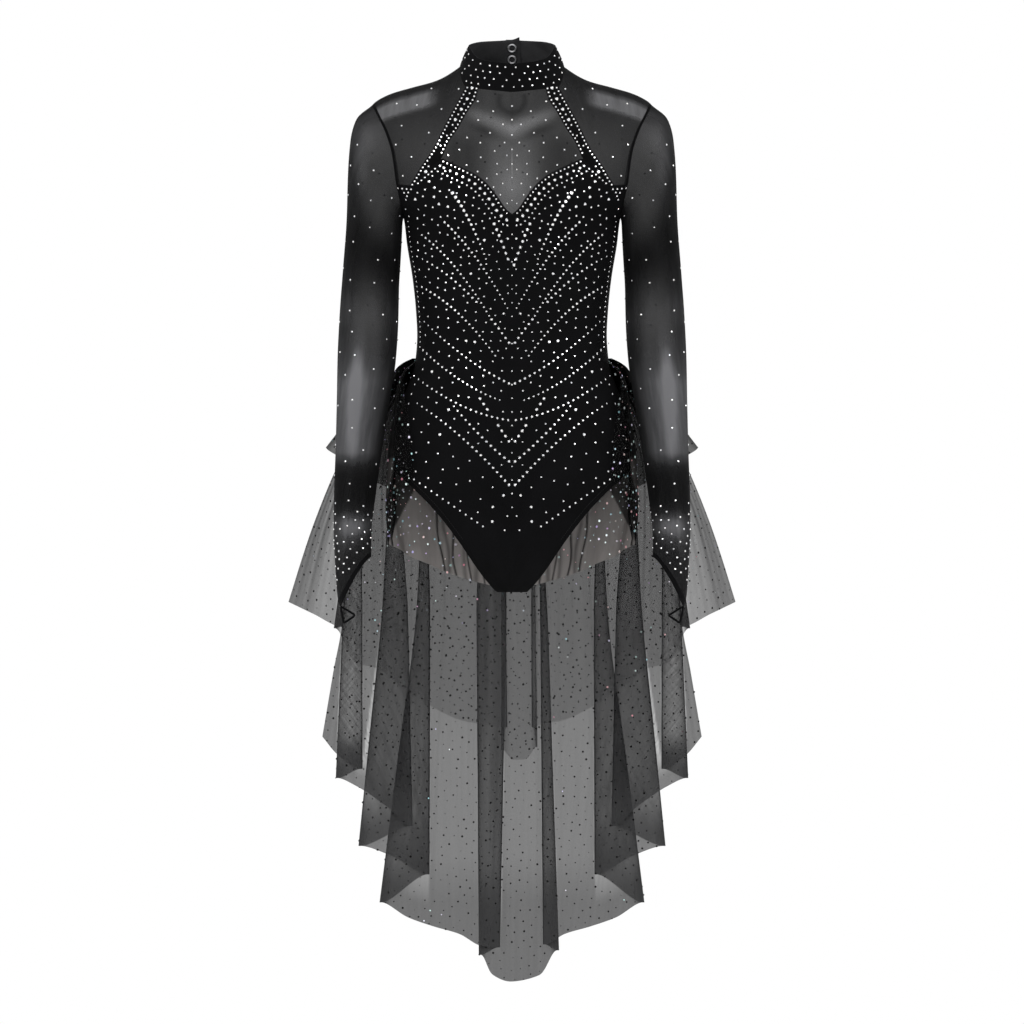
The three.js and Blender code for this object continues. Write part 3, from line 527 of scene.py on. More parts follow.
# Shoulder mesh: the sheer panels of the front shoulders, from the strap to the armhole, sewn to the
# back yoke along the top of the shoulder.
def shoulder_line(count):
    """The top edge, from the strap at the neck seam along the shoulder seam to the armhole."""
    x = spread(68.6, 183.4, count)
    seam = np.stack([x, shoulder_z(x)], -1)
    return np.concatenate([neck(spread(62, 90, 8))[:-1], seam])


for side, name in ((1, "left"), (-1, "right")):
    rows = spread(0, 1, 40)
    top = shoulder_line(24)
    foot = bodice_top(mix(134 / BODICE_TOP[0], 1, spread(0, 1, len(top))))
    flat = panel_grid(strap_outer(rows), armhole(7 * rows), top, foot)
    places = on_torso(flat * (side, 1))[0]
    shoulder = sheet(f"shoulder_mesh_{name}_cloth", places, **chest_tones(flat))
    seam = armhole(spread(0, 7, 50))
    wide = spread(4.4, 2.4, 50)[:, None]
    places = np.stack([seam - wide * (share, 0) for share in (0.06, 0.5, 1)], 1)
    arm_tape = sheet(f"armhole_tape_front_{name}", on_torso(places * (side, 1), lift=0.35)[0])
    ridge = shoulder_line(40)[7:]
    places = np.stack([ridge - (0, down_by) for down_by in (0.4, 1.6, 2.8)])
    ridge_tape = sheet(f"shoulder_tape_{name}", on_torso(places * (side, 1), lift=-0.4)[0])
    sewn(arm_tape, knit, "knit")
    sewn(ridge_tape, knit, "knit")
    sewn(
        shoulder, mesh_cloth, "mesh", [f"shoulder_mesh_{name}"],
        flat=(0.14, 0.15), area=0.0137, held="stretched", rests_on=["collar", "body_front"],
        with_pieces=[arm_tape, ridge_tape],
    )


# Back yoke: one sheer panel over the shoulder blades. Its centre back is cut open from the collar down
# and bound, so that the head goes through.
BACK_TOP = armhole(8)
BACK_TOP_MIDDLE = -205
SLIT_END = -130
SLIT_GAP = 2


def back_top(share):
    share = np.asarray(share, float)
    return np.stack([BACK_TOP[0] * share, mix(BACK_TOP[1], BACK_TOP_MIDDLE, 1 - share**2)], -1)


def back_grid(rows, columns):
    """Flat places of the left half, from the centre back out to the armhole."""
    down = spread(0, 1, rows)
    middle = np.stack([0 * down, mix(6, BACK_TOP_MIDDLE, down**1.2)], -1)
    top = np.concatenate([neck(spread(180, 90, columns // 2))[:-1], shoulder_line(99)[7::2]])
    foot = back_top(spread(0, 1, len(top)))
    grid = panel_grid(middle, armhole(8 * down), top, foot)
    open_by = rising(grid[:, :1, 1], SLIT_END, SLIT_END + 30) * SLIT_GAP / 2
    grid[:, :, 0] += open_by * rising(grid[:, :, 0], 12, 0)
    return grid


half = back_grid(rows=70, columns=40)
flat = np.concatenate([half[:, ::-1] * mirror, half], 1)
yoke_back = sheet("yoke_back_mesh", on_torso(flat, back=True)[0], slack=0.22)
work = bmesh.new()
work.from_mesh(yoke_back.data)
inside = [face for face in work.faces if max(abs(vert.co.x) for vert in face.verts) < 0.0012]
slit = [face for face in inside if face.calc_center_median().z > SLIT_END / 1000]
bmesh.ops.delete(work, geom=slit, context="FACES_ONLY")
bmesh.ops.remove_doubles(work, verts=work.verts, dist=0.00002)
work.to_mesh(yoke_back.data)
work.free()
slit_down = spread(5.5, SLIT_END - 4, 60)[:, None]
slit_place = np.stack(np.broadcast_arrays(spread(-1.3, 1.3, 5)[None], slit_down), -1)
fading = 0.22 - 1.3 * rising(slit_place[..., 1], SLIT_END + 48, SLIT_END + 8)
slit_binding = sheet("slit_binding", on_torso(slit_place, back=True, lift=-0.35)[0], slack=fading)
sewn(slit_binding, mesh_cloth, "mesh")
back_seams = [slit_binding]
for side, name in ((1, "left"), (-1, "right")):
    seam = armhole(spread(0, 8, 60))
    places = np.stack([seam - (in_by, 0) for in_by in (0.3, 2.2, 4)], 1) * (side, 1)
    back_seams.append(sheet(f"armhole_tape_back_{name}", on_torso(places, back=True, lift=-0.4)[0]))
    sewn(back_seams[-1], knit, "knit")
sewn(
    yoke_back, mesh_cloth, "mesh", ["yoke_back"],
    flat=(0.37, 0.23), area=0.068, held="stretched", rests_on=["collar", "body_back"],
    with_pieces=back_seams,
)


# Bodice and brief: opaque stretch knit, cut as one front and one back panel with darts for the bust,
# sewn at the sides and under the crotch, with elastic in the leg openings.
HIP_Z = -511
LEG = table(
    "z x",
    (-511, 156),
    (-535.8, 128.4),
    (-567.2, 98.3),
    (-606.5, 68.1),
    (-647, 40.6),
    (-663.5, 27),
    (-671, 19.7),
)
leg_x = smooth(LEG["z"], LEG["x"])
SIDES = table(
    "z middle fade",
    (-225, -262, 0.22),
    (-270, -292, 0.1),
    (-315, -325, 0.04),
    (-369, -372, 0),
    (-420, -420, 0),
    (-470, -466, 0),
    (-511, -503, 0),
    (-540, -540, 0),
    (-575, -575, 0),
    (-612, -612, 0),
    (-645, -645, 0),
    (-662, -662, 0),
    (-671, -671, 0),
)
FRONT_ARM = table(
    "step middle fade",
    (7, -177.5, 1),
    (8, -196, 0.82),
    (9, -213, 0.66),
    (10, -227, 0.5),
    (11, -240, 0.36),
)
BACK_ARM = table(
    "step middle fade",
    (8, -205, 1),
    (9, -218, 0.8),
    (10, -230, 0.6),
    (11, -241, 0.4),
)


def edge_x(z):
    """How far out the side of the bodice or the leg opening is at a height."""
    return np.where(z > -181, armhole_x(z), np.where(z > HIP_Z, torso_half(z), leg_x(z)))


def trunk(arm, top, rows, columns):
    """Flat places of the bodice and brief, from the armholes and the top edge down to the crotch."""
    side_z = np.concatenate([armhole(arm["step"])[:, 1], SIDES["z"]])
    bows = [np.concatenate([arm[key], SIDES[key]]) for key in ("middle", "fade")]
    at = np.arange(len(side_z))
    place = spread(0, at[-1], rows)
    z, middle, fade = (smooth(at, column)(place)[:, None] for column in (side_z, *bows))
    share = spread(-1, 1, columns)[None]
    size = np.abs(share)
    bow = mix(z, middle, 1 - size**2)
    lift = top(size[0])[:, 1] - bow[:1]
    return np.stack([edge_x(z) * share, bow + lift * fade], -1)


body_front_grid = trunk(FRONT_ARM, bodice_top, rows=150, columns=161)
body_front = sheet("body_front_cloth", on_torso(body_front_grid)[0], thick=1.2)
sewn(
    body_front, knit, "knit", ["body_front"],
    flat=(0.36, 0.56), area=0.168, held="stretched", rests_on=["body_back"],
)
body_back_grid = trunk(BACK_ARM, back_top, rows=140, columns=121)
body_back = sheet("body_back_cloth", on_torso(body_back_grid, back=True)[0], thick=1.2)
sewn(
    body_back, knit, "knit", ["body_back"],
    flat=(0.37, 0.52), area=0.15, held="stretched", rests_on=["body_front"],
)


# Collar: a band of the same knit, folded along its top edge so that its paler inside shows behind the
# neck. It is sewn to the neck seam, and its ends lap at the centre back and snap shut.
COLLAR_HALF = 57
COLLAR_DEPTH = 50
COLLAR_FORWARD = -6
COLLAR_WALL = 1.4
LAP_STEP = 3.2
COLLAR_TOP = table(
    "turn z",
    (0, 19.6),
    (25, 22),
    (53, 28),
    (80, 42),
    (113, 48),
    (135, 51),
    (180, 54),
    (191, 57.5),
)
collar_top_z = smooth(COLLAR_TOP["turn"], COLLAR_TOP["z"])


def collar_at(turn, up, lift=0.0):
    """Places on the collar, by degrees from the centre front and the share of its height."""
    turn, up = np.broadcast_arrays(np.asarray(turn, float), np.asarray(up, float))
    size = np.abs(turn)
    side = np.where(turn < 0, -1, 1)
    seam = neck(np.minimum(size, 360 - size))
    sine, cosine = np.sin(np.radians(size)), np.cos(np.radians(size))
    flat = np.stack([side * NECK_HALF * sine, seam[..., 1]], -1)
    base = np.where((size > 90)[..., None], on_torso(flat, True)[0], on_torso(flat, False)[0])
    top_z = np.where(turn < 0, collar_top_z(size), collar_top_z(np.minimum(size, 180)))
    top = np.stack([side * COLLAR_HALF * sine, COLLAR_FORWARD - COLLAR_DEPTH * cosine, top_z], -1)
    tucked = np.where(turn < 0, rising(size, 150, 165) * LAP_STEP, 0)
    out = np.stack([sine * side, -cosine, 0 * sine], -1)
    return mix(base, top, up[..., None]) + out * (np.sin(np.pi * up) - tucked + lift)[..., None], out


turns = (spread(-190.6, -165, 14)[:-1], spread(-165, 165, 150), spread(165, 188, 13)[1:])
turns = np.concatenate(turns)
ups = np.concatenate([spread(0, 1, 16), spread(1, 0, 16), [0]])[:, None]
inner = np.repeat([0, 1, 0], (16, 16, 1))[:, None] * np.ones(len(turns))
layer = inner.copy()
layer[:, [0, -1]] = 0.5
places = collar_at(turns[None], ups, -COLLAR_WALL * layer)[0]
collar = sheet("collar_cloth", places, lining=0.6 * inner)
sewn(
    collar, knit, "knit", ["collar"],
    flat=(0.45, 0.11), area=0.037, held="stretched", rests_on=["yoke_front", "yoke_back"],
)


# Snaps: three polished nickel ring snaps hold the lapped ends. Open rings show on the inside and
# plain caps on the outside. They are small turned parts, pressed through the knit.
nickel = Finish("polished_nickel", Metallic=1.0, Roughness=0.2)
wear = nickel.noise(nickel.object_place(), 900.0)
nickel.coloured(wear, (0.3, (0.5, 0.5, 0.51)), (0.7, (0.78, 0.78, 0.8)))
nickel.set("Roughness", wear * 0.2 + 0.3)
for number in (1, 2, 3):
    for kind in ("snap_ring", "snap_cap"):
        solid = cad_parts[f"{kind}_{number}"]
        for holder in solid.material_slots:
            holder.material = nickel.material


# Sleeves: long set-in sleeves of the same fine mesh, each cut in one piece with a seam under the arm,
# shaped to a point over the back of the hand.
SLEEVE = table(
    "outer_x outer_z inner_x inner_z depth y bow",
    (203.5, -51, 143.3, -187, 53, 1, 1),
    (211.5, -78, 143.8, -197, 50, 1, 1),
    (215, -124, 144.6, -215, 47, 1, 1),
    (216.6, -180, 146, -240, 45, 1, 1),
    (221.5, -248, 147.8, -270, 43, 0, 1),
    (226, -310, 148.9, -318, 41, -1, 1),
    (228.6, -366, 152, -366, 38, -4, 1),
    (229.6, -425, 160.8, -425, 35, -9, 1),
    (231, -485, 170.3, -485, 31, -15, 1),
    (233, -545, 178.5, -545, 27, -22, 1),
    (233.4, -592, 183.6, -588, 24, -28, 1),
    (231, -640, 184, -606, 23, -31, 1.2),
    (227.6, -681, 184, -618.5, 22.5, -34, 1.4),
    (224.5, -690, 184, -625, 22.5, -35, 1.4),
)


def mean_run(sections):
    """The distance from each section to the first, taken over all of their places."""
    return np.concatenate([[0], np.cumsum(np.linalg.norm(np.diff(sections, axis=0), axis=2).mean(1))])


def sleeve_section(side, row, steps):
    turn = np.pi * steps / ARM_STEPS
    share = (1 + np.cos(turn)) / 2
    size = {key: column[row] for key, column in SLEEVE.items()}
    x = side * mix(size["inner_x"], size["outer_x"], share)
    y = size["y"] - size["depth"] * np.sin(turn)
    return np.stack([x, y, mix(size["inner_z"], size["outer_z"], share ** size["bow"])], -1)


def sleeve_grid(side, first, last, rows, columns):
    """Places round the sleeve. Section 0 is the armhole, and the others are the table's rows."""
    steps = spread(0, 2 * ARM_STEPS, columns + 1)[:-1]
    flat = armhole(np.minimum(steps, 2 * ARM_STEPS - steps)) * (side, 1)
    seam = np.where((steps > ARM_STEPS)[:, None], on_torso(flat, True)[0], on_torso(flat, False)[0])
    sections = np.array([seam] + [sleeve_section(side, row, steps) for row in range(len(SLEEVE["y"]))])
    run = mean_run(sections)
    return smooth(run, sections)(spread(run[first], run[last], rows))


def sleeve_tones(places):
    """How slack the sleeve is, and where its colour is painted lighter as a painted highlight. It is
    pulled thin on the shoulder and a little in a patch above the cuff, and slack at its inner side, above
    and below the elbow and at the wrist. Painted highlights lie on the shoulder, above and over the
    elbow, down the outer forearm, on that patch and at the wrist."""
    down = spread(0, 1, len(places))[:, None]
    step = spread(0, 2 * ARM_STEPS, places.shape[1] + 1)[None, :-1]
    across = np.cos(np.pi * step / ARM_STEPS)
    crown = bell(across, 0.6, 0.3) * bell(down, 0.06, 0.07)
    upper = bell(down, 0.235, 0.08)
    # The band over the elbow is only a painted highlight: it changes the colour, not the slack.
    elbow = bell(across, 0.3, 0.26) * bell(down, 0.585, 0.14, 4)
    lower = rising(down, 0.42, 0.54) * rising(down, 0.76, 0.71)
    forearm = bell(down, 0.8, 0.062, 4)
    patch = bell(down, 0.889, 0.038) * rising(np.abs(across), 1.4, 0.4)
    slack = 0.5 - 0.2 * crown + 0.36 * upper + 0.25 * lower + 0.34 * forearm - 0.12 * patch
    slack = slack + 0.08 * rising(across, 0, -1) + 0.04 * rising(down, 0.92, 0.97)
    painted_highlight = 0.2 * crown + 0.42 * elbow + 0.47 * patch + 0.57 * lower * rising(across, -1.4, -0.4)
    painted_highlight += 0.16 * bell(down, 0.38, 0.06) + 0.05 * (down > 0.93)
    return dict(slack=np.clip(slack, 0, 0.93), painted_highlight=painted_highlight)


SLEEVE_ROWS = 150
SLEEVE_COLUMNS = 88
LAST_MESH = 13  # the section where the mesh ends and the cuff's edge begins
for side, name in ((1, "left"), (-1, "right")):
    places = sleeve_grid(side, 0, LAST_MESH, SLEEVE_ROWS, SLEEVE_COLUMNS)
    core = (side * 190, -5)
    sleeve = sheet(f"sleeve_{name}_mesh", places, core, around=True, **sleeve_tones(places))
    under = places[:, 43:46]
    inside = under + 0.4 * (places.mean(1, keepdims=True) - under) / 40
    underarm_tape = sheet(f"underarm_tape_{name}", inside, core)
    sewn(underarm_tape, knit, "knit")
    sewn(
        sleeve, mesh_cloth, "mesh", [f"sleeve_{name}"],
        flat=(0.32, 0.62), area=0.138, held="stretched", rests_on=["yoke_back"],
        with_pieces=[underarm_tape],
    )
    edge = sleeve_grid(side, LAST_MESH, LAST_MESH + 1, 6, SLEEVE_COLUMNS)
    cuff = sheet(f"cuff_edge_{name}_cloth", edge, (side * 205, -34), around=True, thick=0.9)
    sewn(
        cuff, knit, "knit", [f"cuff_edge_{name}"],
        flat=(0.16, 0.01), area=0.0014, held="stretched", rests_on=[f"sleeve_{name}"],
    )


# Finger loops: a triangle of soft knit cord at the point of each cuff, which goes over the middle
# finger. It is sewn to the cuff's edge at its upper corner.
CORD_SPREAD = 0.0006  # the soft cord's nap, in metres
for name in ("left", "right"):
    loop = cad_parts[f"finger_loop_{name}"]
    cord = linked(f"finger_loop_{name}_cord", loop.data.copy())
    cord.matrix_world = loop.matrix_world.copy()
    work = bmesh.new()
    work.from_mesh(cord.data)
    bmesh.ops.remove_doubles(work, verts=work.verts, dist=0.00001)
    work.normal_update()
    for vert in work.verts:
        vert.co += vert.normal * CORD_SPREAD
    work.to_mesh(cord.data)
    work.free()
    cord.data.materials.clear()
    cord.data.materials.append(knit.material)
    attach(cord, "root")
    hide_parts(f"finger_loop_{name}")


# Rhinestones: flat-backed faceted glass stones of several sizes, glued on in rows along the seams, in
# bowed rows that meet on the centre front, and scattered between them over the bodice, straps, collar,
# yoke and sleeves. Beside the seams run the short black stitches that hold the turned edges down.
SMALL_STONE = 1.35  # millimetres from a stone's middle to its rim
BIG_STONE = 2.5
STONE_LIFT = 0.15  # millimetres that a stone's flat back stands off the cloth, on its glue
STITCH_PITCH = 2.8


def tree_of(name, **inputs):
    """An empty Geometry Nodes tree with named inputs."""
    tree = bpy.data.node_groups.new(name, "GeometryNodeTree")
    for way in ("INPUT", "OUTPUT"):
        tree.interface.new_socket("Geometry", in_out=way, socket_type="NodeSocketGeometry")
    for label, kind in inputs.items():
        tree.interface.new_socket(label, in_out="INPUT", socket_type="NodeSocket" + kind)
    return tree


def add_node(tree, kind, settings=None, inputs=None):
    """Adds a node to a Geometry Nodes tree and gives its outputs."""
    made = tree.nodes.new(kind)
    for name, value in (settings or {}).items():
        setattr(made, name, value)
    for key, value in (inputs or {}).items():
        if isinstance(value, bpy.types.NodeSocket):
            tree.links.new(value, made.inputs[key])
        else:
            made.inputs[key].default_value = value
    return made.outputs


def kept_value(tree, name, kind="FLOAT"):
    """A value that the starting mesh keeps at its points."""
    read = add_node(tree, "GeometryNodeInputNamedAttribute", dict(data_type=kind), {"Name": name})
    return read["Attribute"]


def set_out(tree, points, piece, way, size):
    """A copy of the piece at each point, turned to face the way out there."""
    turned = add_node(tree, "FunctionNodeAlignRotationToVector", dict(axis="Z"), {"Vector": way})
    spots = {"Points": points, "Instance": piece, "Rotation": turned["Rotation"], "Scale": size}
    return add_node(tree, "GeometryNodeInstanceOnPoints", None, spots)["Instances"]


def finish_tree(tree, placed, material):
    real = add_node(tree, "GeometryNodeRealizeInstances", None, {"Geometry": placed})["Geometry"]
    done = add_node(tree, "GeometryNodeSetMaterial", None, {"Geometry": real, "Material": material})
    add_node(tree, "NodeGroupOutput", None, {"Geometry": done["Geometry"]})


def worked(name, tree, start, **values):
    """A plain mesh, made by a tree from a starting mesh. Sizes are in metres."""
    base = linked(name + "_start", start)
    modifier = base.modifiers.new("works", "NODES")
    modifier.node_group = tree
    for item in tree.interface.items_tree:
        if item.in_out == "INPUT" and item.name in values:
            modifier[item.identifier] = values[item.name]
    seen = base.evaluated_get(bpy.context.evaluated_depsgraph_get())
    mesh = bpy.data.meshes.new_from_object(seen)
    bpy.data.objects.remove(base)
    return linked(name, mesh)


stone_tree = tree_of("set_stones", Facets="Int", Table="Float", Height="Float", Finish="Material")
given = add_node(stone_tree, "NodeGroupInput")
cone = {"Vertices": given["Facets"], "Depth": given["Height"]}
cone |= {"Radius Top": given["Table"], "Radius Bottom": 1.0}
stone = add_node(stone_tree, "GeometryNodeMeshCone", dict(fill_type="NGON"), cone)["Mesh"]
way, size = kept_value(stone_tree, "way", "FLOAT_VECTOR"), kept_value(stone_tree, "size")
placed = set_out(stone_tree, given["Geometry"], stone, way, size)
finish_tree(stone_tree, placed, given["Finish"])

glass = Finish("silver_backed_glass", Metallic=1.0, Roughness=0.12)
spark = glass.noise(glass.object_place(), 420.0, 1.0)
glass.coloured(spark, (0.3, (0.62, 0.64, 0.68)), (0.5, (0.95, 0.95, 0.96)), (0.7, (1.0, 0.98, 0.95)))
glass.set("Roughness", spark * 0.3)


def set_stones(name, places, ways, sizes, finish=glass, facets=8, table=0.55, height=0.5):
    """Sets a stone at each place, given in millimetres, with its table facing the way out."""
    start = bpy.data.meshes.new(name)
    start.from_pydata((places / 1000).tolist(), [], [])
    mark(start, "way", ways, "FLOAT_VECTOR")
    mark(start, "size", sizes / 1000)
    cut = dict(Facets=facets, Table=table, Height=height, Finish=finish.material)
    made = worked(name, stone_tree, start, **cut)
    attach(made, "root")
    return made


THREAD_HALF = 0.22
thread = Finish("black_thread", Roughness=0.6, Specular_IOR_Level=0.2)
thread.set("Base Color", (0.012, 0.012, 0.013, 1))


def stitched(name, flat, back=False):
    """A row of short straight stitches through flat places, on both sides of the dress."""
    for side, hand in ((1, "left"), (-1, "right")):
        places = on_torso(flat * (side, 1), back, lift=0.2)[0]
        ways = np.gradient(places, axis=0)
        sizes = np.full(len(places), THREAD_HALF)
        set_stones(f"{name}_{hand}", places, ways, sizes, thread, facets=6, table=1, height=8)


def strung(line, pitch, first=SMALL_STONE, last=SMALL_STONE):
    """Stones at an even pitch along a line, as rows of (x, z, size)."""
    fine = line(spread(0, 1, 400))
    run = run_of(fine)
    at = spread(0, run[-1], max(int(run[-1] / pitch), 1) + 1)
    x, z = (np.interp(at, run, fine[:, i]) for i in (0, 1))
    return np.stack([x, z, mix(first, last, at / run[-1])], -1)


def beside(line, by):
    """A line at a distance from another, on its right-hand side."""

    def moved(share):
        step = line(np.minimum(share + 0.01, 1)) - line(np.maximum(share - 0.01, 0))
        step /= np.linalg.norm(step, axis=-1, keepdims=True)
        return line(share) + by * np.stack([step[..., 1], -step[..., 0]], -1)

    return moved


def bowed(start, end, pull):
    """A line from start to end that is pulled down in its middle."""
    start, end = np.array(start, float), np.array(end, float)
    sag = lambda share: (pull * 4 * share * (1 - share))[:, None] * (0, 1)
    return lambda share: mix(start, end, share[:, None]) - sag(share)


def kept_apart(places, gaps):
    """The numbers of the places that keep their gap to those kept before them."""
    held = np.zeros(places.shape)
    kept = []
    for i, (place, gap) in enumerate(zip(places, gaps)):
        far = held[: len(kept)] - place
        if not kept or (far * far).sum(1).min() >= gap * gap:
            held[len(kept)] = place
            kept.append(i)
    return kept


SCATTER_TRIES = 9000


def scattered(draw, low, high, gap, inside, taken):
    """Small stones strewn over a flat area, at the gap given for each height."""
    spots = mix(np.array(low, float), np.array(high, float), draw.random((SCATTER_TRIES, 2)))
    spots = spots[inside(spots[:, 0], spots[:, 1])]
    near = np.linalg.norm(spots[:, None] - taken[None, :, :2], axis=2).min(1)
    spots = spots[near > 0.62 * gap(spots[:, 1])]
    kept = spots[kept_apart(spots, gap(spots[:, 1]))]
    return np.concatenate([kept, np.full((len(kept), 1), SMALL_STONE)], 1)


def thinned(stones):
    """Stones without those that would sit on one set before them."""
    gaps = stones[:, 2] + SMALL_STONE + 1.4
    return stones[kept_apart(stones[:, :2], gaps)]


def mirrored(stones):
    """The stones with their like on the other side, but for those on the centre line."""
    pair = stones[stones[:, 0] > 2.5] * (-1, 1, 1)
    return np.concatenate([stones, pair])


def set_on_torso(name, stones, back=False):
    """Sets stones, given as rows of (x, z, size), on the front or the back of the dress."""
    places, ways = on_torso(stones[:, :2], back, lift=STONE_LIFT)
    return set_stones(name, places, ways, stones[:, 2])


leg_edge = lambda share: np.stack([leg_x(mix(-514, -604, share)), mix(-514, -604, share)], -1)
back_hem = lambda share: back_top(share * 0.97) - (0, 1.5)
stitched("leg_stitches", strung(beside(leg_edge, 6), STITCH_PITCH)[:, :2])
top_hem = beside(lambda share: bodice_top(share * 0.6), 1.2)
stitched("neckline_stitches", strung(top_hem, STITCH_PITCH)[:, :2])
stitched("back_panel_stitches", strung(back_hem, STITCH_PITCH)[:, :2], back=True)
draw = np.random.default_rng(7)
neckline = lambda share: bodice_top(share * 0.62)
leg_line = lambda share: np.stack([mix(143, 38, share), mix(-513, -585, share)], -1)
side_z = lambda share: mix(-186, -350, share)
side_line = lambda share: np.stack([edge_x(side_z(share)) * 0.965, side_z(share)], -1)
underarm_line = lambda share: np.stack([mix(134, edge_x(-182) - 3, share), mix(-144, -158, share)], -1)
side_top = lambda share: bodice_top(mix(0.62, 1, share)) - (2, 5)
rows = [
    strung(beside(neckline, 10.5), 8.6, 2.6, 1.7),
    strung(beside(neckline, 3.2), 5.6),
    strung(beside(neckline, 18), 7),
    strung(side_top, 5.4),
    strung(underarm_line, 4.4),
    strung(side_line, 6.5),
    strung(leg_line, 8.8, 1.45, 1.45),
]
rays = table(
    "x z far high pull start end",
    (2.5, -244, 30, -176, -3, 2.6, 2.2),
    (34, -236, 78, -150, -7, 1.35, 2.6),
    (6, -300, 88, -188, -9, 1.35, 1.9),
    (30, -310, 118, -204, -10, 1.35, 1.7),
    (4, -345, 124, -232, -14, 2.2, 1.35),
    (22, -362, 118, -272, -10, 1.35, 1.9),
    (4, -398, 120, -312, 8, 1.9, 1.35),
    (16, -420, 126, -345, 9, 1.35, 1.7),
    (5, -446, 128, -388, 10, 1.9, 1.35),
    (4, -474, 42, -418, 0, 2.5, 2.2),
    (4, -500, 76, -428, 4, 2.5, 1.35),
    (4, -531, 124, -424, -7, 2.3, 1.2),
)
for x, z, far, high, pull, start, end in zip(*rays.values()):
    rows.append(strung(bowed((x, z), (far, high), pull), 5.2 + start, start, end))
strap_middle = lambda share: (strap_inner(share) + strap_outer(share)) / 2
small_row = strung(strap_middle, 15.5)
strap_rows = [
    strung(beside(lambda share: strap_inner(share * 0.94), -2.4), 5.2),
    strung(beside(lambda share: strap_outer(share * 0.98), 2.4), 5.2),
    strung(strap_middle, 15.5, BIG_STONE, BIG_STONE),
    small_row[:-1] + np.diff(small_row, axis=0) / 2,
]
rows = np.concatenate(rows[:2] + strap_rows + rows[2:])
centre_line = lambda share: np.stack([0 * share, mix(-204, -560, share)], -1)
rows = thinned(np.concatenate([rows[rows[:, 0] > 2.2], strung(centre_line, 17.8)]))


def on_bodice(x, z):
    top = np.interp(x, *bodice_top(spread(0, 1, 200)).T)
    return (z < top - 4) & (x < edge_x(z) - 5) & (z > -596 + 0.5 * x)


front_gap = lambda z: np.interp(z, [-600, -460, -360, -250, -150], [19, 14, 11, 9.5, 8.5])
loose = scattered(draw, (5, -600), (160, -104), front_gap, on_bodice, rows)
loose[::11, 2] = 2.1  # now and then a bigger stone
set_on_torso("bodice_rhinestones", mirrored(np.concatenate([rows, loose])))
back_line = lambda share: back_top(share * 0.97) - (0, 6)
back_rows = strung(back_line, 7.5, 2.2, 1.4)


def on_back(x, z):
    return (z < np.interp(x, *back_top(spread(0, 1, 200)).T) - 6) & (x < edge_x(z) - 5)


back_gap = lambda z: np.interp(z, [-450, -200], [26, 18])
loose = scattered(draw, (3, -355), (150, -165), back_gap, on_back, back_rows)
set_on_torso("back_rhinestones", mirrored(np.concatenate([back_rows, loose])), back=True)


def on_yoke(x, z):
    inner = strap_inner(spread(0, 1, 200))
    return (z < -27) & (x < np.interp(-z, -inner[:, 1], inner[:, 0]) - 5) & (z > sweetheart(x) + 5)


def on_shoulder(x, z):
    outer = strap_outer(spread(0, 1, 200))
    past_strap = x > np.interp(-z, -outer[:, 1], outer[:, 0]) + 5
    return past_strap & (z < shoulder_z(x) - 8) & (z > -134) & (x < armhole_x(z) - 8)


def on_back_yoke(x, z):
    above_panel = z > np.interp(x, (0, 150), (-195, -158))
    return (z < shoulder_z(x) - 12) & (x < edge_x(z) - 8) & above_panel


yoke_gap = lambda z: np.interp(z, [-165, -130, -105, -45], [8.5, 12.5, 16, 21])
middle = np.array([(0, z, SMALL_STONE) for z in (-36, -54, -74, -93, -112, -130, -146, -160)], float)
loose = scattered(draw, (6, -170), (90, -27), yoke_gap, on_yoke, middle)
shoulder_gap = lambda z: 0 * z + 25
far_loose = scattered(draw, (60, -134), (180, -10), shoulder_gap, on_shoulder, loose)
set_on_torso("yoke_rhinestones", mirrored(np.concatenate([middle, loose, far_loose])))
loose = scattered(draw, (8, -200), (180, -12), shoulder_gap, on_back_yoke, middle)
set_on_torso("back_yoke_rhinestones", mirrored(loose), back=True)

COLLAR_ROWS = 4
COLLAR_TURNS = 28
row, i = np.divmod(np.arange(COLLAR_ROWS * COLLAR_TURNS), COLLAR_TURNS)
turns = (i + 0.5 * (row % 2)) * (360 / COLLAR_TURNS) - 180 + 2.5 * np.sin(5 * i + row)
ups = (row + 0.75) / (COLLAR_ROWS + 0.4)
fits = np.abs(turns) < 172  # clear of the snaps
places, ways = collar_at(turns[fits], ups[fits], 0.2)
set_stones("collar_rhinestones", places, ways, np.full(fits.sum(), SMALL_STONE))

for side, name in ((1, "left"), (-1, "right")):
    places = sleeve_grid(side, 0, LAST_MESH, SLEEVE_ROWS, SLEEVE_COLUMNS)
    down, across = np.gradient(places, axis=0), np.gradient(places, axis=1)
    ways = np.cross(down, across)
    ways /= np.linalg.norm(ways, axis=-1, keepdims=True)
    ways *= np.sign((ways * (places - places.mean(1, keepdims=True))).sum(-1))[..., None]
    places, ways = places.reshape(-1, 3), ways.reshape(-1, 3)
    order = np.random.default_rng(11).permutation(len(places))
    row = order // SLEEVE_COLUMNS
    order = order[(row > 4) & (row < SLEEVE_ROWS - 3)]
    gaps = np.interp(places[order][:, 2], [-600, -565, -540], [9, 11, 27])
    kept = order[kept_apart(places[order], gaps)]
    spots = places[kept] + STONE_LIFT * ways[kept]
    set_stones(f"sleeve_rhinestones_{name}", spots, ways[kept], np.full(len(kept), SMALL_STONE))


# Long tier: the cascade of the train, of black dotted tulle cut as a deep arc, gathered into the waist
# seam at the back and hanging in zigzag folds. It hangs free below the hips.
TULLE = 1.0
TIER_GAP = 0.4
TIER_STEP = 1.5
TULLE_HOLE = 0.0016  # metres across a hole of the net


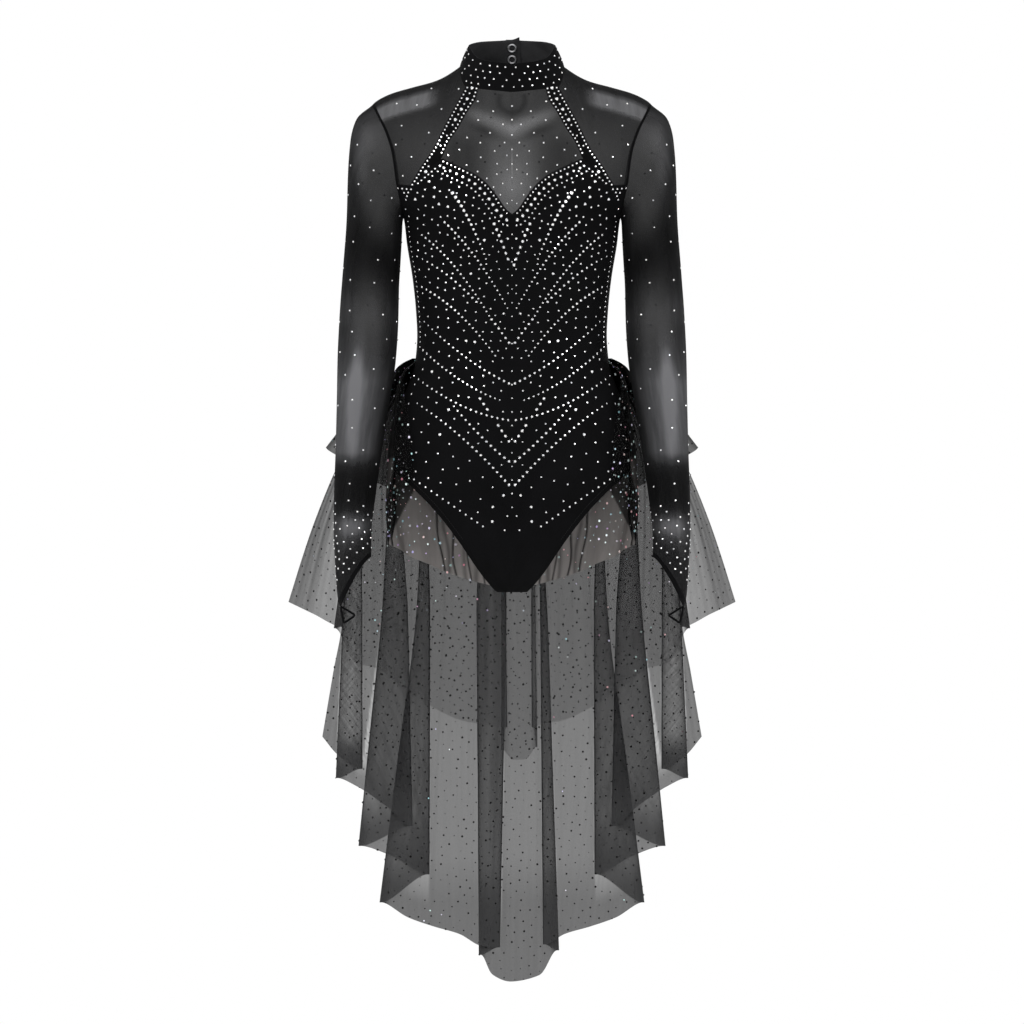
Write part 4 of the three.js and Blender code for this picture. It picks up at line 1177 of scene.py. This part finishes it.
def tulle_finish(name, through):
    """Black tulle: grey where one layer is seen square on, and black in its folds, partly as its layers
    stack up and partly from painted shade in its colour.
    """
    finish = Finish(name, Roughness=0.95, Specular_IOR_Level=0.05)
    cloud, _, slack = sheer(finish, through, TULLE_HOLE, uneven=0.04, streak=(190, 4, 1), lined=0.34)
    # Painted shade: the colour is painted darker along the folds' turned sides and where a fold's layers
    # lie pulled thin together. The cloud is the net's own uneven tone.
    painted_shade_and_tone = finish.marked("crease") - slack * 0.25 + (cloud - 0.5) * 0.4
    tones = [(0.0, (0.04, 0.04, 0.041)), (0.5, (0.016, 0.016, 0.017)), (1.0, (0.003, 0.003, 0.0035))]
    finish.coloured(painted_shade_and_tone, *tones)
    return finish


tulle = tulle_finish("black_tulle", through=0.185)
LONG = dict(
    step=2,
    rows=[-369, -374, -381, -396, -420, -445, -465, -485, -510, -540, -700],
    levels=table(
        "z half reach side depth own stack",
        (-369, 126.8, 126.8, 0, 90, 0, 0),
        (-374, 138, 138, 3, 101.5, 0, 0.02),
        (-381, 149.5, 149.5, 9, 113, 0, 0.06),
        (-396, 157, 157, 24, 121, 0, 0.3),
        (-440, 180, 184, 55, 126, 0.06, 0.8),
        (-540, 208, 223, 75, 140, 0.55, 1),
        (-700, 232, 229, 105, 150, 1, 1),
    ),
    hem=dict(reach=257, side=112, depth=158),
    hem_rows=[0.5, 1],
    side=table(
        "angle knee x z turn",
        (80, 222, 250, -862, 0),
        (76.5, 209, 229, -887, 0),
        (73, 197, 197, -905, 1),
        (69, 223, 233, -917, 1),
        (64, 198, 205, -928, 0),
        (57, 165, 164, -956, 0),
        (51, 137, 131, -981, 1),
        (46, 172, 203, -1007, 1),
        (40, 138, 160, -1020, 0),
        (35, 108, 109, -1045, 1),
        (31, 127, 175.5, -1082, 1),
        (26, 108, 137.6, -1102, 0),
        (21, 88, 104, -1114, 0),
        (15.5, 64, 70, -1124, 0),
    ),
    middle=table(
        "angle knee x z turn",
        (-11.5, -36, -39.8, -1140, 0),
        (-8.5, -7, -15.7, -1142, 1),
        (-5.5, -47, -44, -1152, 1),
        (-3.2, -26, -26, -1178, 0),
        (-0.8, -4, -2, -1187.5, 0),
        (1.8, 22, 36, -1179, 0),
        (4.6, 47, 62.5, -1146, 1),
        (7.8, 37, 41, -1138, 1),
    ),
    fold=6,
)


def by_row(columns):
    """A table's rows, each with its values by name."""
    return [dict(zip(columns, row)) for row in zip(*columns.values())]


def tier_columns(tier):
    """The tier's folds from the right-hand edge to the left-hand one, as (angle, knee, x, z, back)."""
    side, middle = (by_row(tier[part]) for part in ("side", "middle"))
    right = [dict(row, angle=-row["angle"], knee=-row["knee"], x=-row["x"]) for row in side]
    rows = right + middle + side[::-1]
    turns = sum(row["turn"] for row in rows)
    columns = []
    passed = 0
    for i, row in enumerate(rows):
        back = min(passed, turns - passed)
        if not row["turn"]:
            columns.append((row["angle"], row["knee"], row["x"], row["z"], back * tier["fold"]))
            continue
        passed += 1
        after = min(passed, turns - passed)
        way = np.sign(row["x"] - rows[i - 1]["x"]) * tier["fold"] * 0.45
        knee_way = np.sign(row["knee"] - rows[i - 1]["knee"]) * tier["fold"] * 0.45
        for share, shift, swing in ((0.12, -1, -0.7), (0.5, 0, 0), (0.88, -1, 0.7)):
            place = (row["knee"] + knee_way * shift, row["x"] + way * shift, row["z"])
            columns.append((row["angle"] + swing, *place, mix(back, after, share) * tier["fold"]))
    return np.array(columns).T


def tier_grid(tier, rows, columns):
    """Places on a hanging tier: its table's own rows and folds, then a smooth cloth through them."""
    angle, knee, hem_x, hem_z, back = tier_columns(tier)
    lifted = tier["step"] * TIER_STEP
    start = TULLE / 2 + TIER_GAP + lifted
    lines = {key: smooth(tier["levels"]["z"], column) for key, column in tier["levels"].items()}
    sine = np.sin(np.radians(angle))

    def arc(x, size, more=0.0):
        share = np.minimum(np.abs(x) / (size["reach"] + more), 1)
        return size["side"] + (size["depth"] + more - size["side"]) * np.sqrt(1 - share**2)

    knots = []
    for i, z in enumerate(tier["rows"]):
        size = {key: float(line(z)) for key, line in lines.items()}
        more = start if i == 0 else start * max(0, 1 - i / 2)
        x = mix((size["half"] + more) * sine, knee, size["own"])
        knots.append(np.stack([x, arc(x, size, more) + size["stack"] * back, 0 * x + z + lifted], -1))
    last = knots[-1]
    foot = np.stack([hem_x, arc(hem_x, tier["hem"]) + back, hem_z], -1)
    knots += [mix(last, foot, share) for share in tier["hem_rows"]]
    knots = np.array(knots)
    down = mean_run(knots)
    across = np.linalg.norm(np.diff(knots, axis=1), axis=2)
    across = np.concatenate([[0], np.cumsum(across.mean(0) + across[-1])])
    fine = smooth(down, knots)(spread(0, down[-1], rows)).transpose(1, 0, 2)
    return smooth(across, fine)(spread(0, across[-1], columns)).transpose(1, 0, 2)


def hanging(grid, deepest, lengths):
    """Adds the small uneven gathers that run down from the waist and fade towards the hem."""
    run = run_of(grid[-1])
    swing = sum(np.sin(2 * np.pi * run / length + length) for length in lengths) / len(lengths)
    down = spread(0, 1, len(grid))[:, None]
    grid[..., 1] += deepest * rising(down, 0, 0.06) * (1 - 0.6 * down) * swing[None]
    return grid


def folded(grid, thin):
    """Below zero where the three layers of a fold cling together, pulled thin, and above it along the
    edges of the fold, where the cloth bunches."""
    across = grid[..., 0] * np.sign(grid[:, -1:, 0] - grid[:, :1, 0])
    ahead = np.maximum.accumulate(across, axis=1) - across
    behind = across - np.minimum.accumulate(across[:, ::-1], axis=1)[:, ::-1]
    bunched = np.zeros(across.shape)
    bunched[:, 1:-1] = np.abs(np.diff(np.sign(np.diff(across, axis=1)), axis=1)) / 2
    for _ in range(5):
        beside_it = np.maximum(bunched[:, 2:], bunched[:, :-2])
        bunched[:, 1:-1] = np.maximum(bunched[:, 1:-1], 0.72 * beside_it)
    over_hem = rising(spread(0, 1, len(grid))[:, None], 0.97, 0.89)
    return 0.9 * bunched - thin * over_hem * rising(np.maximum(ahead, behind), 0, 1.5)


def creases(grid):
    """Painted shade for the folds: how far the cloth is turned away from front and back, as it is in its
    folds.
    """
    across, down = np.gradient(grid, axis=1), np.gradient(grid, axis=0)
    out = np.cross(across, down)
    out /= np.maximum(np.linalg.norm(out, axis=-1, keepdims=True), 1e-9)
    return np.clip(1 - np.abs(out[..., 1]), 0, 1) ** 1.3


places = hanging(tier_grid(LONG, rows=150, columns=520), deepest=1.7, lengths=(17, 23, 41, 13))
width, height = np.abs(places[..., 0]), places[..., 2]
thin = 1.4 + 0.8 * rising(width, 186, 200) * rising(height, -600, -660)
tail = 0.3 * rising(height, -1020, -1080)
marks = dict(crease=creases(places), slack=folded(places, thin) + tail)
long_tier = sheet("skirt_long_tier_tulle", places, core=(0, -200), **marks)
sewn(
    long_tier, tulle, "tulle", ["skirt_long_tier"],
    flat=(1.5, 0.78), area=0.63, held="gathered", rests_on=["body_back"],
)


# Middle tier: a second, shorter layer of finer tulle between the long one and the hips, gathered into
# the same seam. Its corners stand out at the sides, past the cuffs.
MIDDLE = dict(
    step=1,
    rows=[-369, -374, -381, -396, -440, -480, -516, -600],
    levels=table(
        "z half reach side depth own stack",
        (-369, 126.8, 126.8, 0, 90, 0, 0),
        (-374, 136, 136, 2, 98.5, 0, 0.02),
        (-381, 146.5, 146.5, 5, 108, 0, 0.05),
        (-396, 153, 153, 15, 114.5, 0, 0.1),
        (-440, 163, 194, 22, 119, 0.2, 0.3),
        (-516, 176, 240, 26, 128, 0.5, 1),
        (-600, 173, 271, 22, 128, 0.78, 1),
    ),
    hem=dict(reach=299, side=12, depth=129),
    hem_rows=[1],
    side=table(
        "angle knee x z turn",
        (80, 293.4, 293.4, -684, 0),
        (73, 261, 261, -700, 0),
        (67, 223, 223, -717, 1),
        (62, 235, 235, -719, 1),
        (55, 206, 206, -764, 0),
        (48, 178, 178, -772, 0),
        (41, 148, 148, -795, 0),
        (34, 118, 118, -815, 0),
        (27, 92, 92, -830, 0),
        (20, 66, 66, -841, 0),
        (13, 38, 38, -846, 0),
    ),
    middle=table(
        "angle knee x z turn",
        (-7.5, -6, -6, -850, 1),
        (-4.5, -14, -14, -880, 1),
        (-1.5, 2, 2, -893, 0),
        (1.5, 18, 18, -892, 0),
        (4.5, 34, 34, -876, 1),
        (7.5, 26, 26, -850, 1),
    ),
    fold=4,
)
places = hanging(tier_grid(MIDDLE, rows=110, columns=400), deepest=1.5, lengths=(19, 29, 37, 11))
wings = 0.52 * rising(np.abs(places[..., 0]), 212, 232)
marks = dict(crease=creases(places), slack=folded(places, thin=0.35) + wings)
middle_tier = sheet("skirt_middle_tier_tulle", places, core=(0, -200), **marks)
fine_tulle = tulle_finish("fine_black_tulle", through=0.6)
sewn(
    middle_tier, fine_tulle, "tulle", ["skirt_middle_tier"],
    flat=(1.1, 0.5), area=0.26, held="gathered", rests_on=["body_back"],
)


# Inner ruffle and top frill: short gathered strips under and over the two long tiers. The ruffle lies
# on the hips and comes round to their front, and the frill stands out at the back.
RUFFLE = dict(
    step=0,
    waves=9,
    levels=table(
        "z half side front back edge wave",
        (-369, 126.8, 0, 88, 90, 104, 0),
        (-374, 134, 0, 94, 96, 104.5, 0.3),
        (-381, 142, 0, 98, 103.5, 105, 0.6),
        (-396, 148.5, 0, 101, 109, 109, 1),
        (-430, 154, 0, 106, 114, 118, 1),
        (-510, 163.5, 0, 107, 122.5, 128.5, 1.2),
        (-560, 164, 0, 104, 122.5, 114, 1.8),
        (0, 163, 0, 100, 123, 99, 2.4),
    ),
    hem=table("share z", (0, -668), (0.2, -656), (0.42, -636), (0.66, -616), (0.86, -604), (1, -598.7)),
)
FRILL = dict(
    step=3,
    waves=7,
    levels=table(
        "z half side front back edge wave",
        (-369, 126.8, 0, 0, 90, 80, 0),
        (-374, 140.5, 4, 0, 105, 80, 0.2),
        (-381, 152.5, 14, 0, 120.5, 80, 0.6),
        (-396, 162, 36, 0, 142, 80, 1.2),
        (-430, 201, 66, 0, 173, 80, 2.5),
        (0, 243, 84, 0, 210, 80, 6),
    ),
    hem=table("share z", (0, -560), (0.25, -556), (0.5, -538), (0.75, -511), (1, -481)),
)


def wavy_grid(tier, rows, columns):
    """Places on a short gathered tier; the table's last level is its hem."""
    share = spread(-1, 1, columns)
    lifted = tier["step"] * TIER_STEP
    hem_z = smooth(tier["hem"]["share"], tier["hem"]["z"])(np.abs(share)) - lifted
    knots = []
    levels = by_row(tier["levels"])
    for i, size in enumerate(levels):
        turn = np.radians(size["edge"] * share)
        ripple = -size["wave"] * np.cos(np.pi * tier["waves"] * share)
        start = (TULLE / 2 + TIER_GAP + lifted) * max(0, 1 - i / 2)
        depth = np.where(np.cos(turn) > 0, size["back"] - size["side"], size["front"])
        z = hem_z if size is levels[-1] else 0 * share + size["z"]
        x = (size["half"] + start + ripple) * np.sin(turn)
        y = size["side"] + (depth + start + ripple) * np.cos(turn)
        knots.append(np.stack([x, y, z + lifted], -1))
    knots = np.array(knots)
    down = mean_run(knots)
    return smooth(down, knots)(spread(0, down[-1], rows))


RUFFLE_PLEATS = table(
    "high low width start depth",
    (52, 84, 1, 0.3, 1),
    (36, 37.5, 0.5, 0.34, 0.85),
    (31, 34, 1.2, 0.45, 0.35),
    (27.5, 30.6, 0.5, 0.62, 0.75),
    (26.4, 25, 1.2, 0.5, 0.3),
    (22, 22.6, 0.5, 0.62, 0.6),
    (18.6, 19, 1.4, 0.6, 0.35),
    (15.6, 14.8, 0.5, 0.7, 0.6),
    (10.6, 11.5, 1, 0.7, 0.3),
)
ruffle_tulle = Finish("glitter_tulle", Roughness=0.95, Specular_IOR_Level=0.05)
cloud, _, _ = sheer(ruffle_tulle, through=0.09, thread=0.0012, uneven=0.03, streak=(120, 12, 1))
# The ruffle's colour is painted darker in its pleats and folds, as painted shade, and is also darker over
# the hips, at its outer sides and at its front ends.
ruffle_tulle.coloured(
    ruffle_tulle.marked("crease") + ruffle_tulle.marked("hip") + (cloud - 0.5) * 0.2,
    (0.0, (0.3, 0.28, 0.27)),
    (0.4, (0.07, 0.066, 0.064)),
    (0.8, (0.006, 0.006, 0.006)),
)
RUFFLE_ROWS = 90
RUFFLE_COLUMNS = 600
places = wavy_grid(RUFFLE, RUFFLE_ROWS, RUFFLE_COLUMNS)
share = spread(-1, 1, RUFFLE_COLUMNS)[None]
down = spread(0, 1, RUFFLE_ROWS)[:, None]
angle = np.abs(share) * mix(104, 112, down)
pleat = 0 * angle
for high, low, width, start, depth in zip(*RUFFLE_PLEATS.values()):
    wander = 0.7 * np.sin(26 * down + high) * (high < 50)
    middle = mix(high, low, rising(down, 0.45, 0.95)) + wander
    pleat += depth * bell(angle, middle, width) * rising(down, start, start + 0.12)
places *= (1 - 0.02 * pleat)[..., None] * (1, 1, 0) + (0, 0, 1)
fold_x = 129 - 0.53 * (places[..., 2] + 540)
outer = np.minimum(rising(np.abs(places[..., 0]), fold_x, fold_x + 5), 0.5)
front_end = rising(angle, 86, 93)
on_hip = rising(places[..., 2], -515, -485)
ruffle = sheet(
    "skirt_inner_ruffle_tulle",
    places,
    core=(0, 0),
    # painted shade in the pleats and the folds
    crease=np.clip(pleat * 0.8 + 0.3 * creases(places) ** 2, 0, 1),
    slack=-7 * front_end,
    hip=np.maximum(np.maximum(on_hip, outer), front_end),
)
sewn(
    ruffle, ruffle_tulle, "tulle", ["skirt_inner_ruffle"],
    flat=(1.0, 0.28), area=0.17, held="gathered", rests_on=["body_back"],
)
places = hanging(wavy_grid(FRILL, rows=60, columns=360), deepest=1.2, lengths=(17, 27))
marks = dict(crease=creases(places), slack=folded(places, thin=1.4))
frill = sheet("skirt_top_frill_tulle", places, core=(0, -200), **marks)
sewn(
    frill, tulle, "tulle", ["skirt_top_frill"],
    flat=(0.9, 0.24), area=0.12, held="gathered", rests_on=["skirt_long_tier"],
)


# Flecks: the tulle's small flocked dots all over, and its glued sequin glitter, which is thickest on the
# ruffle and beside the hips. Each fleck goes through the net and shows on both of its sides.
fleck_tree = tree_of(
    "scatter_flecks",
    Gap="Float",
    Seed="Int",
    Smallest="Float",
    Largest="Float",
    Finish="Material",
)
given = add_node(fleck_tree, "NodeGroupInput")
strewn = {
    "Mesh": given["Geometry"],
    "Distance Min": given["Gap"],
    "Density Max": 40000.0,
    "Density Factor": kept_value(fleck_tree, "flecks"),
    "Seed": given["Seed"],
}
evenly = dict(distribute_method="POISSON")
strewn = add_node(fleck_tree, "GeometryNodeDistributePointsOnFaces", evenly, strewn)
disc = {"Vertices": 5, "Radius Top": 1.0, "Radius Bottom": 1.0, "Depth": 0.5}
disc = add_node(fleck_tree, "GeometryNodeMeshCone", dict(fill_type="NGON"), disc)
centred = {"Geometry": disc["Mesh"], "Translation": (0, 0, -0.25)}
centred = add_node(fleck_tree, "GeometryNodeTransform", None, centred)
place = add_node(fleck_tree, "GeometryNodeInputPosition")
outward = {0: place["Position"], 1: (0.4, 1, 0)}
outward = add_node(fleck_tree, "ShaderNodeVectorMath", dict(operation="MULTIPLY"), outward)
width = {"Min": given["Smallest"], "Max": given["Largest"], "Seed": given["Seed"]}
width = add_node(fleck_tree, "FunctionNodeRandomValue", dict(data_type="FLOAT"), width)
placed = set_out(fleck_tree, strewn["Points"], centred["Geometry"], outward["Vector"], width["Value"])
colour = add_node(fleck_tree, "FunctionNodeRandomValue", dict(data_type="FLOAT"), {"Seed": 3})
kept = {"Geometry": placed, "Name": "tint", "Value": colour["Value"]}
by_piece = dict(data_type="FLOAT", domain="INSTANCE")
kept = add_node(fleck_tree, "GeometryNodeStoreNamedAttribute", by_piece, kept)
finish_tree(fleck_tree, kept["Geometry"], given["Finish"])

flock = Finish("black_flock", Roughness=1.0, Specular_IOR_Level=0.02)
flock.coloured(flock.marked("tint"), (0, (0.002,) * 3), (1, (0.012,) * 3))
# The sequins glow faintly in their own colours though they are no lamps: a painted glint.
sequin = Finish("iridescent_sequin", Metallic=1.0, Roughness=0.2, Emission_Strength=0.3)
tint = sequin.marked("tint")
colour_and_painted_glow = sequin.coloured(
    tint,
    (0.0, (0.85, 0.85, 0.88)),
    (0.3, (0.55, 0.75, 0.7)),
    (0.45, (0.3, 0.55, 0.6)),
    (0.6, (0.8, 0.75, 0.85)),
    (0.75, (0.45, 0.42, 0.75)),
    (0.88, (0.8, 0.3, 0.36)),
    (1.0, (0.9, 0.86, 0.8)),
)
sequin.set("Emission Color", colour_and_painted_glow)
sequin.set("Roughness", tint * 0.25 + 0.1)


def fleck(name, cloth, gap, sizes, finish, seed, share):
    """Strews flecks over a tier, with their smallest and largest sizes and their gap in millimetres.
    The share is how many are kept, by the place in metres."""
    start = cloth.data.copy()
    places = np.empty(len(start.vertices) * 3, np.float32)
    start.vertices.foreach_get("co", places)
    mark(start, "flecks", np.clip(share(*places.reshape(-1, 3).T), 0, 1))
    small, large = sizes
    given = dict(Gap=gap / 1000, Smallest=small / 1000, Largest=large / 1000)
    made = worked(name, fleck_tree, start, Seed=seed, Finish=finish.material, **given)
    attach(made, "root")


everywhere = lambda x, y, z: 1 + 0 * z
near_waist = lambda x, y, z: np.interp(z, [-0.8, -0.6, -0.45], [0.03, 0.25, 1])
for cloth, name, gap, seed in (
    (long_tier, "long_tier", 10.5, 2),
    (middle_tier, "middle_tier", 10.5, 5),
    (frill, "frill", 11, 8),
):
    fleck(f"{name}_dots", cloth, gap, (0.5, 1.6), flock, seed, everywhere)
    fleck(f"{name}_glitter", cloth, gap * 1.4, (0.6, 1.1), sequin, seed + 20, near_waist)
on_ruffle = lambda x, y, z: np.interp(z, [-0.64, -0.53, -0.47], [0.5, 0.8, 0.3])
fleck("ruffle_glitter", ruffle, 8.5, (0.5, 1.9), sequin, 14, on_ruffle)


# Studio: a pale round of floor under the dress, white all round, one large soft light from the upper
# left and a long lens level with the middle of the dress.
FLOOR_Z = -1.42
floor_mesh = bpy.data.meshes.new("floor")
FLOOR_WIDE = 1.2
ring = [
    (FLOOR_WIDE * np.cos(turn), FLOOR_WIDE * np.sin(turn), FLOOR_Z)
    for turn in spread(0, 2 * np.pi, 97)[:-1]
]
floor_mesh.from_pydata(ring, [], [list(range(len(ring)))])
floor = linked("floor", floor_mesh)
paper = Finish("pale_floor", Roughness=0.9)
paper.set("Base Color", (0.85, 0.85, 0.85, 1))
floor.data.materials.append(paper.material)

scene = bpy.context.scene
world = bpy.data.worlds.new("white_room")
world.use_nodes = True
scene.world = world
world.node_tree.nodes["Background"].inputs["Color"].default_value = (1, 1, 1, 1)
world.node_tree.nodes["Background"].inputs["Strength"].default_value = 1.0
scene.view_settings.view_transform = "Standard"
scene.cycles.transparent_max_bounces = 64

for name, place, aim, size, power in (
    ("key", (-2.2, -3.0, 1.6), (0, 0, -0.4), 1.6, 60),
    ("fill", (2.4, -2.6, 0.4), (0, 0, -0.5), 1.8, 25),
):
    light = bpy.data.lights.new(name, "AREA")
    light.shape = "DISK"
    light.size = size
    light.energy = power
    lamp = linked(name, light)
    lamp.location = place
    lamp.rotation_euler = (Vector(aim) - Vector(place)).to_track_quat("-Z", "Y").to_euler()

FRAME_WIDE = 1.024 * 1.31  # metres across the picture, at the dress
CAMERA_AWAY = 20.0
CAMERA_Z = -0.566
camera = bpy.data.cameras.new("camera")
camera.sensor_width = 36
camera.lens = camera.sensor_width * CAMERA_AWAY / FRAME_WIDE
camera_object = linked("camera", camera)
camera_object.location = (0, -CAMERA_AWAY, CAMERA_Z)
camera_object.rotation_euler = (np.pi / 2, 0, 0)
scene.camera = camera_object
